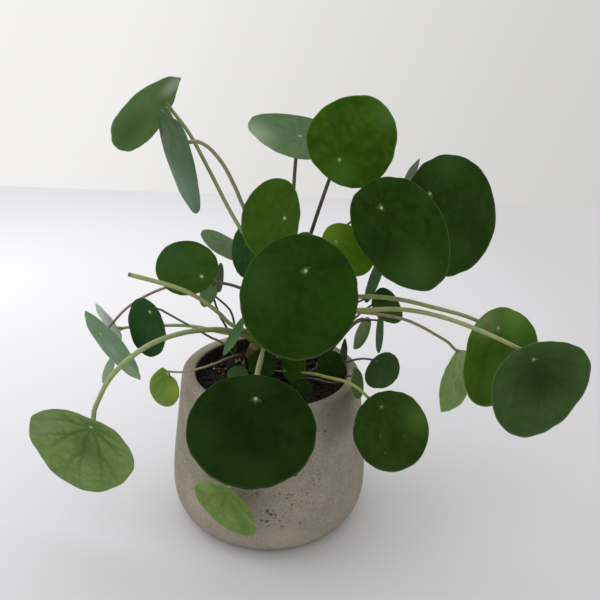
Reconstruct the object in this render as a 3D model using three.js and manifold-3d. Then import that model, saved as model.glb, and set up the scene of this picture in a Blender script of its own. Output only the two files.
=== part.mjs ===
// A money plant (Pilea peperomioides) growing in a rough cast concrete pot.
// Millimetres, +Z up. The origin is the middle of the pot's foot, on the surface that it stands on.
// The plant's front is -Y, and it leans and reaches unevenly, as it grew.
import * as THREE from 'three';
import { mergeVertices } from 'three/addons/utils/BufferGeometryUtils.js';
import Module from 'manifold-3d';

const wasm = await Module();
wasm.setup();

// Pot
const POT_HEIGHT = 110;
const RIM_RADIUS = 61.5;
const BELLY_RADIUS = 70.3;
const BELLY_HEIGHT = 27;
const FOOT_RADIUS = 57;
const WALL = 8.5;
const FLOOR = 11;
const POT_SIDES = 40;

// Soil
const SOIL_TOP = 103;
const SOIL_SIDES = 36;
const SOIL_RINGS = 5;
const SOIL_LUMP = 1.1;
const GAP = 0.3;

// Woody stem and the green crown on top of it
const STEM_RADIUS = 4.6;
const STEM_SIDES = 10;
const CROWN_RADIUS = 4.2;
const CROWN_SIDES = 8;
const STEM_FOOT = [-20, 6, 82];
const STEM_BEND = [-18, 5, 104];
const STEM_TOP = [-12, 2, 124];
const CROWN_BASE = [-10.5, 1.6, 126.5];
const CROWN_LOW = [-1, 0, 133];
const CROWN_MIDDLE = [8, 1, 150];
const CROWN_HIGH = [13, 3, 164];

// Leaf blades
const BLADE_THICKNESS = 0.9;
const LARGE_BLADE = 30;
const LARGE_SEGMENTS = 22;
const LARGE_RINGS = 2;
const SMALL_SEGMENTS = 14;
const SMALL_RINGS = 2;
const WAVES = 7;

// Stalks
const STALK_SIDES = 5;
const STALK_STEP = 13;
const STALK_END = 7;
const COLLAR_RADIUS = 2.2;
const COLLAR_RISE = 1;

const COLOURS = {
  concrete: [0xaaa196, 0.95],
  soil: [0x2b2420, 1.0],
  wood: [0x6b5a3c, 0.85],
  stalk: [0x8f9f5a, 0.55],
  thinStalk: [0x6e6a45, 0.6],
  deep: [0x24470f, 0.45],
  mid: [0x35601c, 0.45],
  fresh: [0x5f8a34, 0.5],
  pale: [0x6f8f62, 0.6],
};

// The leaf blades. Each row gives
//   at: the pale dot on the upper side, where the stalk joins underneath,
//   faces: which way the upper side looks, as degrees round from -Y towards +X, and degrees up,
//   turn: how far the blade's tip is turned from hanging straight down,
//   size: width and length, how far the blade's middle lies from the dot towards the tip, and how far
//     the far end leans sideways,
//   lobes: how strongly the outline swells in three places, and where, for blades that aren't quite oval,
//   bend: degrees that the sides rise (+) or fall (-), and that the length rises or falls,
//   wave: height of the waved edge.
const CROWN_LEAVES = [
  { name: 'leaf_top_left_folded', at: [-73, 25, 286], faces: [-116, 34], turn: 75, size: [57, 54, 19, 2],
    bend: [-14, 0], wave: 0.8, tone: 'pale', radius: 1.1, from: CROWN_HIGH,
    via: [[-23, 20, 201], [-43, 22, 243], [-62, 24, 275]] },
  { name: 'leaf_top_left_hanging', at: [-66, -12, 286], faces: [-31, -20], turn: -4, size: [26, 79, 35],
    bend: [-26, -5], lobes: [0.06, -18], wave: 0.6, tone: 'pale', radius: 1.1, from: CROWN_HIGH,
    via: [[-21, 18, 221], [-37, 12, 253], [-50, 2, 270]] },
  { name: 'leaf_top_back', at: [14, 30, 263], faces: [17, 61], turn: -129, size: [44, 54, 9],
    bend: [8, 0], wave: 0.6, tone: 'pale', radius: 1.3, from: CROWN_HIGH,
    via: [[11, 22, 214]] },
  { name: 'leaf_top', at: [39, -5, 259], faces: [5, 12], turn: 145, size: [57, 59, 14],
    bend: [-8, -6], wave: 0.8, tone: 'mid', radius: 1.3, from: CROWN_HIGH,
    via: [[23, 2, 206]] },
  { name: 'leaf_upper_right_back', at: [101, 13, 235], faces: [30, 22], turn: 51, size: [82, 84, 22, -1],
    bend: [-10, -6], lobes: [0.05, 109], wave: 1.0, tone: 'deep', radius: 1.6, from: CROWN_HIGH,
    via: [[38, 22, 196], [74, 26, 224]] },
  { name: 'leaf_upper_right', at: [65, -30, 236], faces: [26, 28], turn: 42, size: [62, 78, 21],
    bend: [-8, -8], lobes: [0.04, -161], wave: 0.8, tone: 'deep', radius: 1.6, from: CROWN_HIGH,
    via: [[34, 20, 194], [56, 10, 222]] },
  { name: 'leaf_tip_far_right', at: [88, 50, 238], faces: [51, -23], turn: 143, size: [16, 17, 5],
    bend: [0, 0], wave: 0, tone: 'pale', radius: 0.8, from: CROWN_HIGH,
    via: [[40, 22, 200], [70, 40, 226]] },
  { name: 'leaf_upper_middle', at: [7, -10, 222], faces: [-30, 8], turn: -97, size: [43, 42, 11],
    bend: [-6, 0], wave: 0.6, tone: 'mid', radius: 1.2, from: CROWN_HIGH,
    via: [[10, 0, 192]] },
  { name: 'leaf_centre', at: [21, -60, 205], faces: [0, 20], turn: -12, size: [69, 74, 16],
    bend: [-8, -8], wave: 0.8, tone: 'deep', radius: 1.7, from: CROWN_HIGH,
    via: [[15, -15, 188], [19, -38, 201]] },
  { name: 'leaf_behind_right', at: [40, -8, 207], faces: [34, 37], turn: 51, size: [36, 40, 10],
    bend: [-8, 0], wave: 0.6, tone: 'fresh', radius: 1.0, from: CROWN_HIGH,
    via: [[24, 2, 186], [33, 2, 198]] },
  { name: 'leaf_left', at: [-45, -20, 185], faces: [0, 46], turn: -122, size: [40, 41, 12],
    bend: [-8, 0], wave: 0.5, tone: 'mid', radius: 1.0, from: CROWN_MIDDLE,
    via: [[-6, 0, 163], [-22, -3, 171], [-34, -8, 176]] },
  { name: 'leaf_left_grey', at: [-34, 32, 189], faces: [70, 54], turn: -148, size: [26, 28, 7],
    bend: [-8, 0], wave: 0.4, tone: 'pale', radius: 0.8, from: CROWN_MIDDLE,
    via: [[-8, 14, 164], [-24, 27, 177]] },
  { name: 'leaf_behind_centre', at: [-20, 13, 195], faces: [-30, 10], turn: -2, size: [28, 31, 6],
    bend: [0, -8], wave: 0.4, tone: 'deep', radius: 0.9, from: CROWN_HIGH,
    via: [[0, 14, 184]] },
  { name: 'leaf_far_left', at: [-119, 0, 132], faces: [-43, -17], turn: 43, size: [42, 60, 12],
    bend: [-8, -6], wave: 0.6, tone: 'pale', radius: 1.0, from: CROWN_MIDDLE,
    via: [[-22, -1, 171], [-41, 2, 174], [-57, 5, 171], [-73, 6, 165], [-89, 6, 158], [-101, 5, 151]] },
  { name: 'leaf_far_left_back', at: [-115, 20, 127], faces: [-38, -18], turn: -138, size: [24, 25, 9],
    bend: [0, 0], wave: 0.4, tone: 'pale', radius: 0.9, from: CROWN_LOW,
    via: [[-33, 8, 136], [-52, 14, 134], [-78, 20, 132], [-98, 24, 129]] },
  { name: 'leaf_low_left', at: [-108, -70, 101], faces: [-17, -12], turn: -27, size: [72, 72, 26, 3],
    bend: [6, 4], lobes: [0.06, -43], wave: 1.2, tone: 'fresh', radius: 1.8, from: CROWN_LOW,
    via: [[-14, -3, 137], [-31, -8, 142], [-50, -24, 148], [-65, -40, 150],
      [-82, -57, 145], [-94, -65, 137], [-103, -68, 121]] },
  { name: 'leaf_front', at: [-5, -90, 137], faces: [4, 52], turn: -7, size: [74, 66, 18],
    bend: [-6, -8], wave: 0.8, tone: 'deep', radius: 1.6, from: CROWN_LOW,
    via: [[-7, -24, 139], [-8, -50, 141], [-7, -70, 140]] },
  { name: 'leaf_front_low', at: [-21, -93, 75], faces: [-27, -7], turn: -15, size: [47, 43, 19, 1],
    bend: [-10, -8], lobes: [0.02, 40], wave: 0.8, tone: 'fresh', radius: 1.1, from: CROWN_LOW,
    via: [[-12, -30, 129], [-15, -62, 121], [-17, -78, 104], [-18, -84, 88]] },
  { name: 'leaf_front_right', at: [70, -70, 123], faces: [12, 30], turn: 20, size: [48, 49, 16],
    bend: [-6, -6], wave: 1.2, tone: 'mid', radius: 1.3, from: CROWN_LOW,
    via: [[10, -17, 124], [27, -34, 125], [39, -46, 128], [52, -57, 130]] },
  { name: 'leaf_far_right', at: [168, -40, 144], faces: [-6, 7], turn: 17, size: [63, 65, 21, 8],
    bend: [-10, -8], lobes: [0.05, -131], wave: 0.8, tone: 'deep', radius: 1.5, from: CROWN_MIDDLE,
    via: [[30, -6, 157], [56, -12, 160], [87, -20, 165], [112, -28, 164], [140, -34, 156]] },
  { name: 'leaf_right', at: [155, 0, 147], faces: [25, 17], turn: 6, size: [66, 66, 20, 5],
    bend: [-10, -6], lobes: [0.07, 166], wave: 1.0, tone: 'fresh', radius: 1.5, from: CROWN_MIDDLE,
    via: [[30, 1, 160], [57, 0, 164], [84, 2, 164], [110, 4, 159], [136, 8, 151]] },
  { name: 'leaf_right_narrow', at: [136, 10, 123], faces: [106, -8], turn: -4, size: [37, 54, 23, -7],
    bend: [-10, -6], lobes: [0.18, -19], wave: 0.6, tone: 'pale', radius: 1.1, from: CROWN_MIDDLE,
    via: [[30, 4, 151], [58, 5, 153], [88, 7, 149], [107, 9, 141], [121, 10, 133]] },
  { name: 'leaf_hanging_by_stem', at: [-14, -32, 158], faces: [-80, 35], turn: 0, size: [22, 32, 12],
    bend: [0, 0], wave: 0.3, tone: 'pale', radius: 0.9, from: CROWN_LOW,
    via: [[-5, -9, 150], [-8, -24, 162]] },
  { name: 'leaf_far_left_low', at: [-121, 30, 97], faces: [-63, 31], turn: 17, size: [14, 23, 8],
    bend: [0, 0], wave: 0, tone: 'pale', radius: 0.8, from: CROWN_LOW,
    via: [[-33, 10, 135], [-52, 17, 133], [-78, 25, 130], [-104, 33, 118], [-114, 34, 106]] },
  { name: 'leaf_young', at: [19, -8, 201], faces: [0, 40], turn: 100, size: [12, 14, 4],
    bend: [40, 0], wave: 0, tone: 'fresh', radius: 0.7, from: CROWN_HIGH,
    via: [[17, -2, 180]] },
  { name: 'leaf_back', at: [15, 66, 150], faces: [170, 34], turn: 0, size: [44, 46, 13],
    bend: [-8, -6], wave: 0.8, tone: 'mid', radius: 1.3, from: CROWN_MIDDLE,
    via: [[12, 22, 160], [14, 44, 162]] },
  { name: 'leaf_back_right', at: [88, 62, 190], faces: [140, 32], turn: 0, size: [42, 46, 13],
    bend: [-8, -6], wave: 0.8, tone: 'deep', radius: 1.3, from: CROWN_HIGH,
    via: [[36, 24, 184], [62, 42, 194]] },
];
const BARE_STALK = { radius: 1.5, points: [CROWN_LOW, [-26, -14, 148], [-37, -24, 163], [-46, -30, 173],
  [-56, -36, 180], [-66, -40, 184], [-85, -46, 193]] };

// Offsets: young plants that come up through the soil beside the main stem, each with its own thin stalks
const OFFSETS = [
  { name: 'offset_left', foot: [-26, 22, 94], radius: 0.9, leaves: [
    { name: 'offset_leaf_left_dark', at: [-84, -10, 153], faces: [-38, 4], turn: -10, size: [36, 42, 12],
      bend: [-8, -6], wave: 0.6, tone: 'deep', via: [[-43, 20, 121], [-56, 10, 137], [-70, 0, 149]] },
    { name: 'offset_leaf_left_thin', at: [-37, 15, 166], faces: [81, 11], turn: 172, size: [17, 20, 6],
      bend: [0, 0], wave: 0, tone: 'pale', via: [[-32, 16, 135], [-38, 14, 152]] },
    { name: 'offset_leaf_left_tiny', at: [-44, 12, 160], faces: [-55, 49], turn: 55, size: [12, 12, 4],
      bend: [0, 0], wave: 0, tone: 'pale', via: [[-32, 15, 134], [-38, 13, 150]] },
  ] },
  { name: 'offset_front_left', foot: [-24, -9, 94], radius: 0.8, leaves: [
    { name: 'offset_leaf_rim_left', at: [-67, -30, 118], faces: [-35, 22], turn: 6, size: [24, 26, 8],
      bend: [30, -6], wave: 0.4, tone: 'fresh',
      via: [[-22, 2, 114], [-29, 0, 115], [-40, -6, 115], [-50, -14, 116], [-61, -22, 118]] },
    { name: 'offset_leaf_soil_grey', at: [-22, -8, 111], faces: [7, 70], turn: -34, size: [13, 14, 3],
      bend: [0, 0], wave: 0, tone: 'pale', via: [] },
    { name: 'offset_leaf_shade', at: [-2, -6, 121], faces: [-30, 25], turn: 23, size: [14, 17, 4],
      bend: [0, 0], wave: 0, tone: 'mid', via: [] },
  ] },
  { name: 'offset_front_right', foot: [22, -2, 94], radius: 0.8, leaves: [
    { name: 'offset_leaf_inside_right', at: [41, -2, 118], faces: [20, 22], turn: 3, size: [21, 23, 4],
      bend: [0, -6], wave: 0.3, tone: 'deep', via: [] },
    { name: 'offset_leaf_inside_middle', at: [10, -7, 112], faces: [0, 62], turn: 91, size: [20, 21, 6],
      bend: [0, 0], wave: 0.3, tone: 'mid', via: [] },
    { name: 'offset_leaf_inside_front', at: [29, -17, 112], faces: [13, 66], turn: 0, size: [22, 22, 4],
      bend: [0, 0], wave: 0.3, tone: 'mid', via: [] },
    { name: 'offset_leaf_rim_right', at: [57, -36, 126], faces: [62, 12], turn: 0, size: [18, 23, 6],
      bend: [0, 0], wave: 0, tone: 'deep', via: [[32, -8, 106.5], [42, -13, 107], [50, -24, 115]] },
  ] },
  { name: 'offset_right', foot: [34, 20, 94], radius: 0.8, leaves: [
    { name: 'offset_leaf_right_round', at: [82, 45, 148], faces: [32, 17], turn: 2, size: [29, 29, 6],
      bend: [0, -6], wave: 0.3, tone: 'mid', via: [[46, 26, 122], [62, 36, 138]] },
    { name: 'offset_leaf_right_narrow', at: [68, 45, 154], faces: [-80, 30], turn: 180, size: [18, 26, 10],
      bend: [0, 0], wave: 0, tone: 'pale', via: [[44, 28, 120], [58, 39, 144]] },
    { name: 'offset_leaf_right_hanging', at: [71, 33, 134], faces: [100, -25], turn: 0, size: [18, 24, 9],
      bend: [0, 0], wave: 0, tone: 'pale', via: [[44, 24, 120], [58, 30, 134]] },
    { name: 'offset_leaf_right_slim', at: [78, 26, 138], faces: [72, 0], turn: 0, size: [18, 28, 10],
      bend: [0, 0], wave: 0, tone: 'pale', via: [[46, 20, 121], [60, 22, 138]] },
    { name: 'offset_leaf_right_dark', at: [73, 0, 118], faces: [10, 25], turn: 30, size: [25, 26, 7],
      bend: [-6, -6], wave: 0.4, tone: 'deep', via: [[45, 7, 111], [55, 2, 117], [64, 2, 119]] },
    { name: 'offset_leaf_spike', at: [52, 12, 114], faces: [74, 5], turn: 150, size: [8, 17, 6],
      bend: [0, 0], wave: 0, tone: 'deep', via: [[43, 15, 110]] },
  ] },
  { name: 'offset_back', foot: [4, 30, 94], radius: 0.8, leaves: [
    { name: 'offset_leaf_back', at: [18, 54, 128], faces: [165, 40], turn: 0, size: [24, 25, 7],
      bend: [-6, -6], wave: 0.4, tone: 'mid', via: [[9, 38, 118]] },
    { name: 'offset_leaf_back_left', at: [-14, 50, 134], faces: [-160, 36], turn: 0, size: [22, 24, 6],
      bend: [-6, -6], wave: 0.4, tone: 'mid', via: [[-2, 36, 120]] },
  ] },
];

function material(tone) {
  const [color, roughness] = COLOURS[tone];
  return new THREE.MeshStandardMaterial({ color, roughness, metalness: 0, side: THREE.DoubleSide });
}

// Position and index only, with shared vertices merged and the flat triangles at a pole dropped.
function closed(geometry) {
  geometry.deleteAttribute('normal');
  geometry.deleteAttribute('uv');
  const merged = mergeVertices(geometry, 1e-3);
  const index = merged.getIndex().array;
  const kept = [];
  for (let i = 0; i < index.length; i += 3) {
    const [a, b, c] = [index[i], index[i + 1], index[i + 2]];
    if (a !== b && b !== c && c !== a) {
      kept.push(a, b, c);
    }
  }
  merged.setIndex(kept);
  return merged;
}

function signedVolume(geometry) {
  const position = geometry.getAttribute('position');
  const index = geometry.getIndex().array;
  const corners = [new THREE.Vector3(), new THREE.Vector3(), new THREE.Vector3()];
  let volume = 0;
  for (let i = 0; i < index.length; i += 3) {
    corners.forEach((corner, k) => corner.fromBufferAttribute(position, index[i + k]));
    volume += corners[0].dot(corners[1].clone().cross(corners[2])) / 6;
  }
  return volume;
}

function facingOut(geometry) {
  if (signedVolume(geometry) < 0) {
    geometry.setIndex(Array.from(geometry.getIndex().array).reverse());
  }
  return geometry;
}

function toSolid(geometry) {
  return new wasm.Manifold(new wasm.Mesh({
    numProp: 3,
    vertProperties: Float32Array.from(geometry.getAttribute('position').array),
    triVerts: Uint32Array.from(geometry.getIndex().array),
  }));
}

function toGeometry(solid) {
  const mesh = solid.getMesh();
  const geometry = new THREE.BufferGeometry();
  geometry.setAttribute('position', new THREE.BufferAttribute(Float32Array.from(mesh.vertProperties), 3));
  geometry.setIndex(Array.from(mesh.triVerts));
  return geometry;
}

function fused(geometries) {
  const solids = geometries.map(toSolid);
  return toGeometry(solids.reduce((whole, next) => whole.add(next)));
}

const vector = (point) => new THREE.Vector3(...point);

// A round stalk of one thickness along a smooth curve through the points.
function stalk(points, radius, sides = STALK_SIDES) {
  const curve = new THREE.CatmullRomCurve3(points, false, 'centripetal');
  const section = new THREE.Shape();
  for (let i = 0; i < sides; i++) {
    const angle = (2 * Math.PI * i) / sides;
    const [x, y] = [radius * Math.cos(angle), radius * Math.sin(angle)];
    if (i === 0) {
      section.moveTo(x, y);
    } else {
      section.lineTo(x, y);
    }
  }
  const steps = Math.max(3, Math.round(curve.getLength() / STALK_STEP));
  const tube = new THREE.ExtrudeGeometry(section, { steps, bevelEnabled: false, extrudePath: curve });
  return facingOut(closed(tube));
}

// The blade's own axes: Z is the way it faces, Y runs from the dot to the tip.
function bladeFrame(leaf) {
  const around = THREE.MathUtils.degToRad(leaf.faces[0]);
  const up = THREE.MathUtils.degToRad(leaf.faces[1]);
  const normal = new THREE.Vector3(
    Math.sin(around) * Math.cos(up), -Math.cos(around) * Math.cos(up), Math.sin(up));
  const down = new THREE.Vector3(
    Math.sin(around) * Math.sin(up), -Math.cos(around) * Math.sin(up), -Math.cos(up));
  const tip = down.clone().applyAxisAngle(normal, THREE.MathUtils.degToRad(leaf.turn));
  const across = tip.clone().cross(normal);
  return new THREE.Matrix4().makeBasis(across, tip, normal).setPosition(vector(leaf.at));
}

// A round blade that is joined off its middle, with waved edges, rolled across and bowed along its length.
function bladeSurface(leaf, x, y) {
  const rho = Math.hypot(x, y);
  const angle = Math.atan2(y, x);
  const [width, length, middle, lean = 0] = leaf.size;
  const [swell, phase] = leaf.lobes ?? [0, 0];
  const reach = rho * (1 + swell * Math.cos(3 * angle - THREE.MathUtils.degToRad(phase)));
  const flatX = reach * ((width / 2) * Math.cos(angle) + lean * Math.sin(angle));
  const flatY = rho * middle + reach * (length / 2) * Math.sin(angle);
  const ripple = leaf.wave * rho ** 3 * Math.sin(WAVES * angle + leaf.at[0]);
  const roll = THREE.MathUtils.degToRad(leaf.bend[0]) || 1e-6;
  const bow = THREE.MathUtils.degToRad(leaf.bend[1]) || 1e-6;
  const rollRadius = width / 2 / roll;
  const bowRadius = (length / 2 + middle) / bow;
  const rollAngle = flatX / rollRadius;
  const bowAngle = flatY / bowRadius;
  const lift = rollRadius * (1 - Math.cos(rollAngle)) + ripple;
  return new THREE.Vector3(
    rollRadius * Math.sin(rollAngle),
    (bowRadius - lift) * Math.sin(bowAngle),
    bowRadius - (bowRadius - lift) * Math.cos(bowAngle));
}

// The blade as a thin solid: the same triangles on the upper side and underneath, closed round the edge.
function blade(leaf) {
  const large = leaf.size[0] > LARGE_BLADE;
  const segments = large ? LARGE_SEGMENTS : SMALL_SEGMENTS;
  const rings = large ? LARGE_RINGS : SMALL_RINGS;
  const sheet = closed(new THREE.RingGeometry(0, 1, segments, rings));
  const position = sheet.getAttribute('position');
  for (let i = 0; i < position.count; i++) {
    const point = bladeSurface(leaf, position.getX(i), position.getY(i));
    position.setXYZ(i, point.x, point.y, point.z);
  }
  return facingOut(thickened(sheet, BLADE_THICKNESS)).applyMatrix4(bladeFrame(leaf));
}

function thickened(sheet, thickness) {
  sheet.computeVertexNormals();
  const position = sheet.getAttribute('position');
  const normal = sheet.getAttribute('normal');
  const index = Array.from(sheet.getIndex().array);
  const count = position.count;
  const points = [];
  for (let i = 0; i < count; i++) {
    points.push(position.getX(i), position.getY(i), position.getZ(i));
  }
  for (let i = 0; i < count; i++) {
    points.push(
      position.getX(i) - thickness * normal.getX(i),
      position.getY(i) - thickness * normal.getY(i),
      position.getZ(i) - thickness * normal.getZ(i));
  }
  const triangles = [...index];
  const edges = new Set();
  for (let i = 0; i < index.length; i += 3) {
    const [a, b, c] = [index[i], index[i + 1], index[i + 2]];
    triangles.push(c + count, b + count, a + count);
    [[a, b], [b, c], [c, a]].forEach(([from, to]) => edges.add(`${from},${to}`));
  }
  for (const edge of edges) {
    const [from, to] = edge.split(',').map(Number);
    if (!edges.has(`${to},${from}`)) {
      triangles.push(to, from, from + count);
      triangles.push(to, from + count, to + count);
    }
  }
  const solid = new THREE.BufferGeometry();
  solid.setAttribute('position', new THREE.Float32BufferAttribute(points, 3));
  solid.setIndex(triangles);
  return solid;
}

// A leaf's stalk comes up under the dot and stops just short of the blade.
function leafStalk(leaf, foot, radius) {
  const frame = bladeFrame(leaf);
  const normal = new THREE.Vector3().setFromMatrixColumn(frame, 2);
  const dot = vector(leaf.at);
  const end = Math.min(STALK_END, 0.35 * leaf.size[0]);
  const under = dot.clone().addScaledVector(normal, -end);
  const tip = dot.clone().addScaledVector(normal, -(BLADE_THICKNESS + GAP));
  return stalk([vector(foot), ...leaf.via.map(vector), under, tip], radius);
}

// Heights of the pot's outer side, from the foot to the rim.
function potProfile() {
  const inner = RIM_RADIUS - WALL;
  return [
    [0, 0], [FOOT_RADIUS, 0], [FOOT_RADIUS + 4.5, 1.4], [65.2, 5], [68.2, 11], [69.8, 18],
    [BELLY_RADIUS, BELLY_HEIGHT], [69.7, 42], [67.6, 62], [65.2, 84], [62.8, 104],
    [RIM_RADIUS + 0.5, 108.6], [RIM_RADIUS - 1.2, POT_HEIGHT], [inner + 1.2, POT_HEIGHT],
    [inner, 108.6], [inner + 0.5, 84], [inner + 4, 44], [inner + 4, 24], [inner - 3, FLOOR], [0, FLOOR],
  ];
}

function lathe(profile, sides) {
  const points = profile.map(([radius, height]) => new THREE.Vector2(radius, height));
  return facingOut(closed(new THREE.LatheGeometry(points, sides).rotateX(Math.PI / 2)));
}

// Height of the crumbly soil at a place, lowest at the wall of the pot.
function soilHeight(x, y) {
  const slope = 2.2 * (Math.hypot(x, y) / RIM_RADIUS) ** 2;
  const lumps = Math.sin(0.19 * x + 1.3) * Math.cos(0.23 * y) + 0.5 * Math.sin(0.41 * x - 0.37 * y);
  return SOIL_TOP - slope + SOIL_LUMP * lumps;
}

function soil() {
  const inner = RIM_RADIUS - WALL - GAP;
  const top = [];
  for (let ring = 0; ring <= SOIL_RINGS; ring++) {
    top.push([(inner * (SOIL_RINGS - ring)) / SOIL_RINGS, SOIL_TOP]);
  }
  const profile = [[0, FLOOR + GAP], [inner - 3.2, FLOOR + GAP], [inner + 3.8, 24.2], [inner + 3.8, 43.8],
    [inner + 0.5, 84], ...top];
  const geometry = lathe(profile, SOIL_SIDES);
  const position = geometry.getAttribute('position');
  for (let i = 0; i < position.count; i++) {
    if (position.getZ(i) > SOIL_TOP - 1) {
      position.setZ(i, soilHeight(position.getX(i), position.getY(i)));
    }
  }
  return geometry;
}

// Straight round hole in the soil for a stem that goes down at this place.
function stemHole(foot, above, radius) {
  const below = vector(foot).lerp(vector(above), -0.06);
  const over = vector(above);
  return toSolid(stalk([below, vector(foot), over], radius + 3 * GAP, CROWN_SIDES));
}

const plant = new THREE.Group();

function place(name, geometry, tone) {
  const mesh = new THREE.Mesh(geometry, material(tone));
  mesh.name = name;
  plant.add(mesh);
}

const holes = [stemHole(STEM_FOOT, STEM_BEND, STEM_RADIUS)];

place('pot', lathe(potProfile(), POT_SIDES), 'concrete');
place('main_stem', stalk([STEM_FOOT, STEM_BEND, STEM_TOP].map(vector), STEM_RADIUS, STEM_SIDES), 'wood');

const crownPath = [CROWN_BASE, CROWN_LOW, CROWN_MIDDLE, CROWN_HIGH].map(vector);
const crownSolids = [
  stalk(crownPath, CROWN_RADIUS, CROWN_SIDES),
  stalk(BARE_STALK.points.map(vector), BARE_STALK.radius),
];
for (const leaf of CROWN_LEAVES) {
  crownSolids.push(leafStalk(leaf, leaf.from, leaf.radius));
  place(leaf.name, blade(leaf), leaf.tone);
}
place('crown_and_stalks', fused(crownSolids), 'stalk');

for (const offset of OFFSETS) {
  const [x, y] = offset.foot;
  const collar = [x, y, SOIL_TOP + COLLAR_RISE];
  const solids = [stalk([vector(offset.foot), vector(collar)], COLLAR_RADIUS, CROWN_SIDES)];
  for (const leaf of offset.leaves) {
    solids.push(leafStalk(leaf, collar, offset.radius));
    place(leaf.name, blade(leaf), leaf.tone);
  }
  place(`${offset.name}_stalks`, fused(solids), 'thinStalk');
  holes.push(stemHole(offset.foot, [x, y, SOIL_TOP + 9 * COLLAR_RISE], COLLAR_RADIUS));
}

const filling = holes.reduce((rest, hole) => rest.subtract(hole), toSolid(soil()));
place('soil', toGeometry(filling), 'soil');

export default plant;
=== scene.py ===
import math
import random

import bpy
from mathutils import Matrix, Vector, noise


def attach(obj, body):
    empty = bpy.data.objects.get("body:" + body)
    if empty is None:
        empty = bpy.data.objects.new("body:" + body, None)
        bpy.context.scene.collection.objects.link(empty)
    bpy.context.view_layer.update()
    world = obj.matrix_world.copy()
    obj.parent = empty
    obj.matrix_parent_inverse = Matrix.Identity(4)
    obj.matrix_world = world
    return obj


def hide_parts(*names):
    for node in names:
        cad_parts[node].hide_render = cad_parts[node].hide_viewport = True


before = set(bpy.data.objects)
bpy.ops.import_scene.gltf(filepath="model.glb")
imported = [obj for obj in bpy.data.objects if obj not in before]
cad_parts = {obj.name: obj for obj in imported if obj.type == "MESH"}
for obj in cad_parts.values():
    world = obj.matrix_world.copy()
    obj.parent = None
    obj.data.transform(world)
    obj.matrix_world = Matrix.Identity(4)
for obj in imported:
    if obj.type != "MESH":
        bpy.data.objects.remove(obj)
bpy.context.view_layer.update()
bpy.context.scene.view_settings.view_transform = "Standard"

# The view
# The plant is seen from in front and above, from about 55 cm away, with the camera tipped a little clockwise.
# The distances are in millimetres from the middle of the pot's foot.
MM = 0.001
CAMERA_PLACE = Vector((18.3, -439.8, 340.2))
CAMERA_DOWN = math.radians(22)
CAMERA_TIP = math.radians(2.1)
LENS = 42
SENSOR_WIDTH = 36
NEAREST_SEEN = 0.01

forward = Vector((0, math.cos(CAMERA_DOWN), -math.sin(CAMERA_DOWN)))
level_up = Vector((0, math.sin(CAMERA_DOWN), math.cos(CAMERA_DOWN)))
level_right = Vector((1, 0, 0))
right = math.cos(CAMERA_TIP) * level_right + math.sin(CAMERA_TIP) * level_up
up = math.cos(CAMERA_TIP) * level_up - math.sin(CAMERA_TIP) * level_right
facing = Matrix((right, up, -forward)).transposed().to_4x4()
bpy.ops.object.camera_add()
camera = bpy.context.object
camera.matrix_world = Matrix.Translation(CAMERA_PLACE * MM) @ facing
camera.data.lens = LENS
camera.data.sensor_width = SENSOR_WIDTH
camera.data.clip_start = NEAREST_SEEN
bpy.context.scene.camera = camera


# The floor and the light
# A pale sheet lies under the pot. Its colour is painted brightest at the back left, where soft daylight comes
# in, and a little duller towards the front right: painted light. The room's light is strongest from the left
# and from above.
FLOOR_PAINTED_LIGHT_STOPS = [(0.1, (247, 247, 250)), (0.5, (226, 226, 231)), (0.9, (207, 206, 208))]
FLOOR_PAINTED_LIGHT_SPOT = (-0.45, 0.4, 0)
FLOOR_HALF_WIDTH = 7
FLOOR_BACK = 0.963
ROOM_LIGHT = [(0, 0.36), (0.4, 0.63), (0.55, 0.67), (0.69, 0.81), (0.76, 0.9), (0.84, 0.88), (0.93, 1.3),
              (1, 1.7)]
ROOM_COLOUR = (1.0, 0.99, 0.98)
BRIGHT_SIDE = (-0.85, 0.3, 0.3)
OVERHEAD_LIGHT = 0.33
OVERHEAD_HEIGHTS = (0.15, 0.8)
WINDOW_PLACE = (-1.0, 0.25, 1.3)
WINDOW_AIM = (0, 0, 0.12)
WINDOW_SIZE = 1.3
WINDOW_POWER = 1.6
WINDOW_COLOUR = (0.97, 0.98, 1.0)


def shade(red, green, blue):
    """A colour as the eye names it, from 0 to 255, made ready for the shader."""
    parts = [part / 255 for part in (red, green, blue)]
    return (*[part / 12.92 if part <= 0.04045 else ((part + 0.055) / 1.055) ** 2.4 for part in parts], 1)


def add_node(tree, kind, links=None, **settings):
    """A shader node with its settings, its values and what feeds it."""
    made = tree.nodes.new(kind)
    for name, value in settings.items():
        setattr(made, name, value)
    for name, value in (links or {}).items():
        if isinstance(value, bpy.types.NodeSocket):
            tree.links.new(value, made.inputs[name])
        else:
            made.inputs[name].default_value = value
    return made


def new_material(name, **values):
    """A material with its shader's own sockets set, and the shader to wire the rest to."""
    material = bpy.data.materials.new(name)
    material.use_nodes = True
    surface = material.node_tree.nodes["Principled BSDF"]
    for socket, value in values.items():
        surface.inputs[socket.replace("_", " ")].default_value = value
    return material, material.node_tree, surface


def maths(tree, operation, *values):
    """One step of arithmetic."""
    return add_node(tree, "ShaderNodeMath", dict(enumerate(values)), operation=operation).outputs[0]


def rise(tree, value, low, high, least=0.0, most=1.0, manner="LINEAR"):
    """A value that runs from low to high, turned into one that runs from least to most."""
    return add_node(tree, "ShaderNodeMapRange", {
        "Value": value, "From Min": low, "From Max": high, "To Min": least, "To Max": most},
        interpolation_type=manner).outputs[0]


def ease(tree, value, low, high, least=0.0, most=1.0):
    """The same, but with a soft start and end."""
    return rise(tree, value, low, high, least, most, "SMOOTHSTEP")


def away_from(tree, place, spot=(0.0, 0.0, 0.0)):
    """How far a place is from a spot."""
    return add_node(tree, "ShaderNodeVectorMath", {0: place, 1: spot}, operation="DISTANCE").outputs["Value"]


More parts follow.
